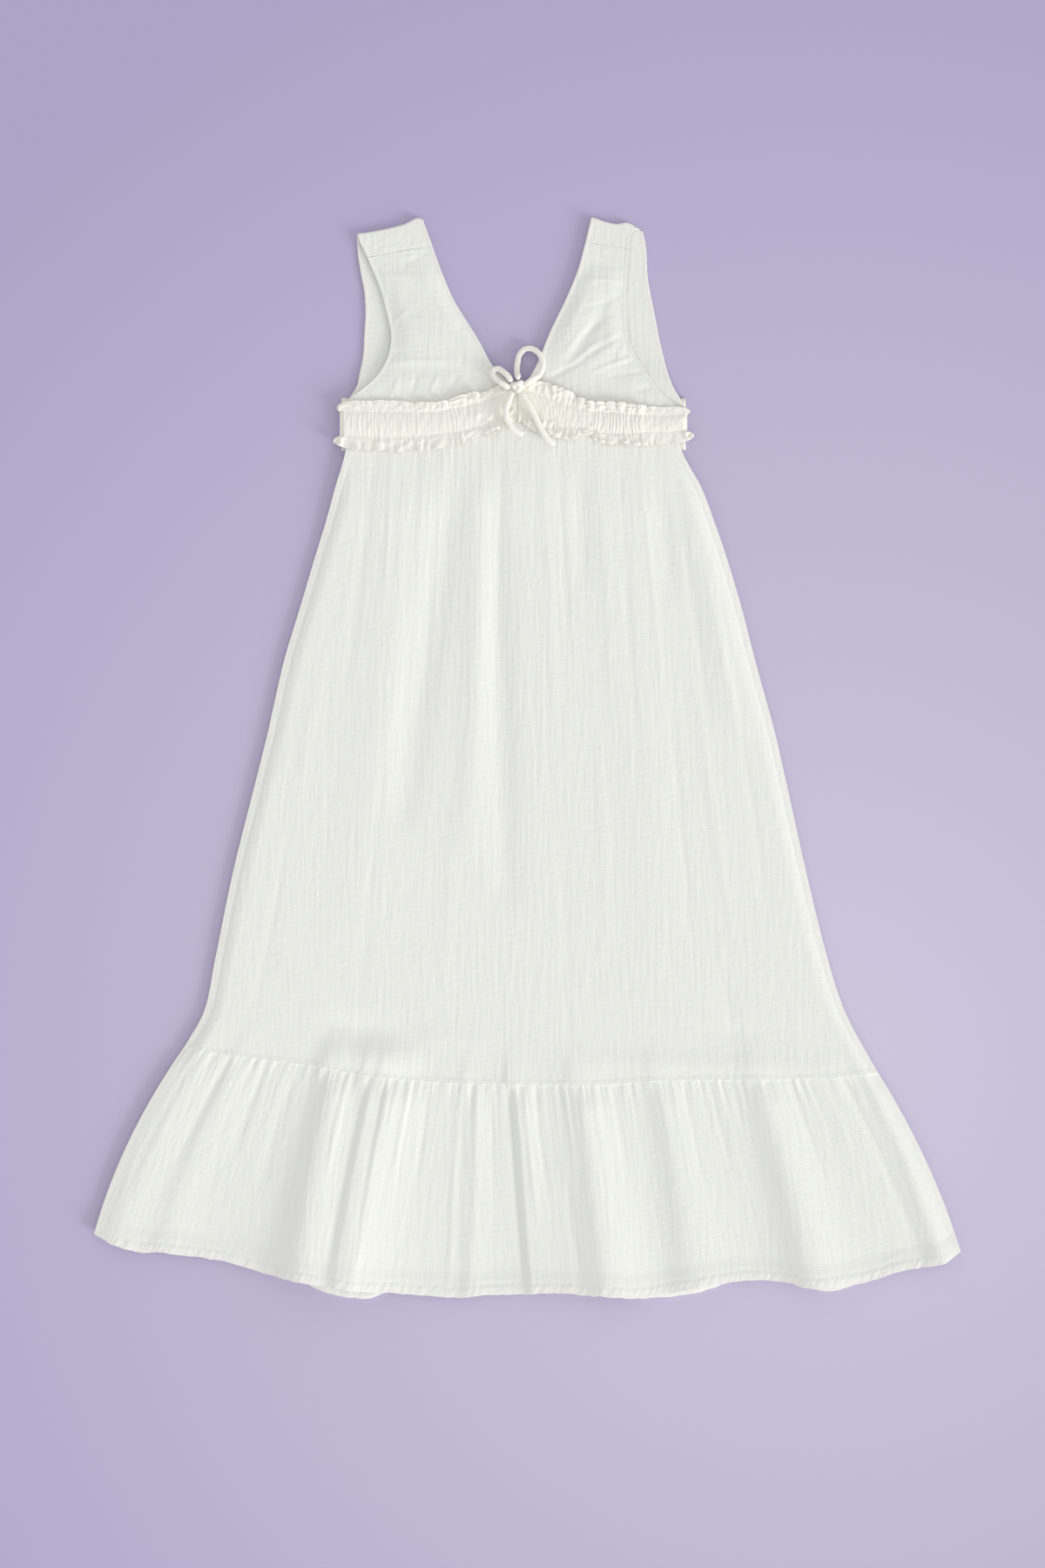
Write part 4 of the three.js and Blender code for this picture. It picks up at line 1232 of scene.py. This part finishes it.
def spline(points, count):
    """A centripetal Catmull-Rom curve through the points, at even steps of its length."""
    p = np.array([list(q) for q in points], float)
    p = np.vstack([2 * p[0] - p[1], p, 2 * p[-1] - p[-2]])
    out = []
    for k in range(1, len(p) - 2):
        a, b, c, d = p[k - 1 : k + 3]
        t1 = np.linalg.norm(b - a) ** 0.5
        t2 = t1 + np.linalg.norm(c - b) ** 0.5
        t3 = t2 + np.linalg.norm(d - c) ** 0.5
        for t in np.linspace(t1, t2, 24, endpoint=False):
            a1 = lerp(a, b, t / t1)
            a2 = lerp(b, c, (t - t1) / (t2 - t1))
            a3 = lerp(c, d, (t - t2) / (t3 - t2))
            b1 = lerp(a1, a2, t / t2)
            b2 = lerp(a2, a3, (t - t1) / (t3 - t1))
            out.append(lerp(b1, b2, (t - t1) / (t2 - t1)))
    out.append(p[-2])
    out = np.array(out)
    gone = travelled(out)
    even = np.linspace(0, gone[-1], count)
    return np.stack([np.interp(even, gone, out[:, k]) for k in range(3)], -1)


def tube(name, path, wide, thick, closed, seed):
    """A slightly uneven flattened cord along a path, with rounded ends unless it closes on itself."""
    count, sides = len(path), 20
    if closed:
        tangent = np.roll(path, -1, axis=0) - np.roll(path, 1, axis=0)
    else:
        tangent = np.gradient(path, axis=0)
    tangent /= np.linalg.norm(tangent, axis=1)[:, None]
    up = np.array([0.0, 0.0, 1.0])
    right = np.cross(tangent, up)
    right /= np.linalg.norm(right, axis=1)[:, None]
    above = np.cross(right, tangent)
    angle = 2 * np.pi * np.arange(sides) / sides
    gone = travelled(path)
    size = 0.92 + 0.16 * noise(gone[:, None] / 2.2, angle[None, :] * 1.6, seed)
    seam = 1 - 0.1 * bell(np.abs(angle - 1.1), 0.25)[None, :]
    flat = np.sign(np.sin(angle)) * np.abs(np.sin(angle)) ** 0.7
    size = size * seam
    if not closed:
        end = np.minimum(gone, gone[-1] - gone)[:, None]
        size = size * np.sqrt(np.clip(0.25 + 0.75 * end / (wide / 2), 0, 1))
    ring = size[..., None] * (
        wide / 2 * np.cos(angle)[None, :, None] * right[:, None, :]
        + thick / 2 * flat[None, :, None] * above[:, None, :]
    )
    points = (path[:, None, :] + ring).reshape(-1, 3)
    faces = []
    for k in range(count if closed else count - 1):
        j = (k + 1) % count
        for i in range(sides):
            n = (i + 1) % sides
            faces.append([k * sides + i, k * sides + n, j * sides + n, j * sides + i])
    if not closed:
        faces.append(list(range(sides))[::-1])
        faces.append([(count - 1) * sides + i for i in range(sides)])
    mesh = bpy.data.meshes.new(name)
    mesh.from_pydata((points * MM).tolist(), [], faces)
    thread = np.stack([np.tile(angle * wide / 2, count), np.repeat(gone, sides)], -1) * MM
    return finish_mesh(name, mesh, thread, CORD_COTTON)


def knot():
    """The tight knot, as the cord wound over itself inside the form of its solid."""
    t = np.linspace(0, 2 * np.pi, 160, endpoint=False)
    x = (np.sin(t) + 2 * np.sin(2 * t)) / 3
    y = (np.cos(t) - 2 * np.cos(2 * t)) / 3
    z = -np.sin(3 * t)
    radius = CORD_IN_KNOT / 2
    path = np.stack([
        KNOT["x"] + (KNOT["wide"] - radius) * x,
        KNOT["y"] + (KNOT["deep"] - radius) * y,
        KNOT["z"] + (KNOT["high"] - radius) * z,
    ], -1)
    return tube("drawstring_knot_cord", path, CORD_IN_KNOT, CORD_IN_KNOT, True, 111)


def bow():
    lump = knot()
    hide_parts("drawstring_knot")
    for k, (name, (start, rows, end)) in enumerate(CORD_ROUTES.items()):
        points = knot_exit(start) + [Vector(p) for p in zip(*rows.values())]
        if end is not None:
            points += knot_exit(end)[::-1]
        length = np.linalg.norm(np.diff(spline(points, 200), axis=0), axis=1).sum()
        path = spline(points, max(24, int(length / RING_SPACING)))
        cord = tube(f"drawstring_{name}_cord", path, CORD_WIDE, CORD_THICK, False, 121 + k)
        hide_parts(f"drawstring_{name}")
        [tuple(p * MM) for p in spline(points, 40)]


# Camera, light and surface
def camera_and_light():
    camera = bpy.data.cameras.new("camera")
    camera.sensor_fit = "VERTICAL"
    camera.sensor_height = 36
    camera.lens = 85
    middle_x, middle_y, view_height = -0.0040, -0.0214, 1.3064
    placed = put("camera", camera)
    placed.location = (middle_x, middle_y, view_height * camera.lens / camera.sensor_height)
    bpy.context.scene.camera = placed

    # a low window to the lower right
    sun = bpy.data.lights.new("window", "SUN")
    sun.energy = 1.87
    sun.angle = math.radians(22)
    sun.color = (1.0, 0.995, 0.985)
    towards = Vector((4.0, -2.7, 1.5))
    put("window", sun).rotation_euler = (-towards).to_track_quat("-Z", "Y").to_euler()
    world = bpy.data.worlds.new("room")
    world.use_nodes = True
    socket_values(world.node_tree.nodes["Background"], {"Color": (1.0, 1.0, 1.0, 1), "Strength": 0.765})
    bpy.context.scene.world = world
    bpy.context.scene.view_settings.view_transform = "Standard"

    # the surface lies just under the cloth, so that the two don't share a plane
    floor = bpy.data.meshes.new("surface")
    half, drop = 15.0, 0.0004
    corners = [(-half, -half, -drop), (half, -half, -drop), (half, half, -drop), (-half, half, -drop)]
    floor.from_pydata(corners, [], [(0, 1, 2, 3)])
    floor.materials.append(floor_material())
    put("surface", floor)


def declare(piece, node):
    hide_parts(node)


camera_and_light()
bow()
waist_back = back_band()
declare(waist_back, "waistband_back")
skirt_low = skirt_back()
declare(skirt_low, "skirt_back")
flounce_low = flounce_back()
declare(flounce_low, "flounce_back")
skirt_top = skirt_front()
declare(skirt_top, "skirt_front")
declare(flounce_front(), "flounce_front")
for half in (LEFT, RIGHT):
    side, cut = half["name"], half["cut"]
    back = bodice_back(half)
    declare(back, f"bodice_back_{side}")
    declare(bodice_front(half), f"bodice_front_{side}")
    strip = band(half)
    declare(strip, f"waistband_front_{side}")
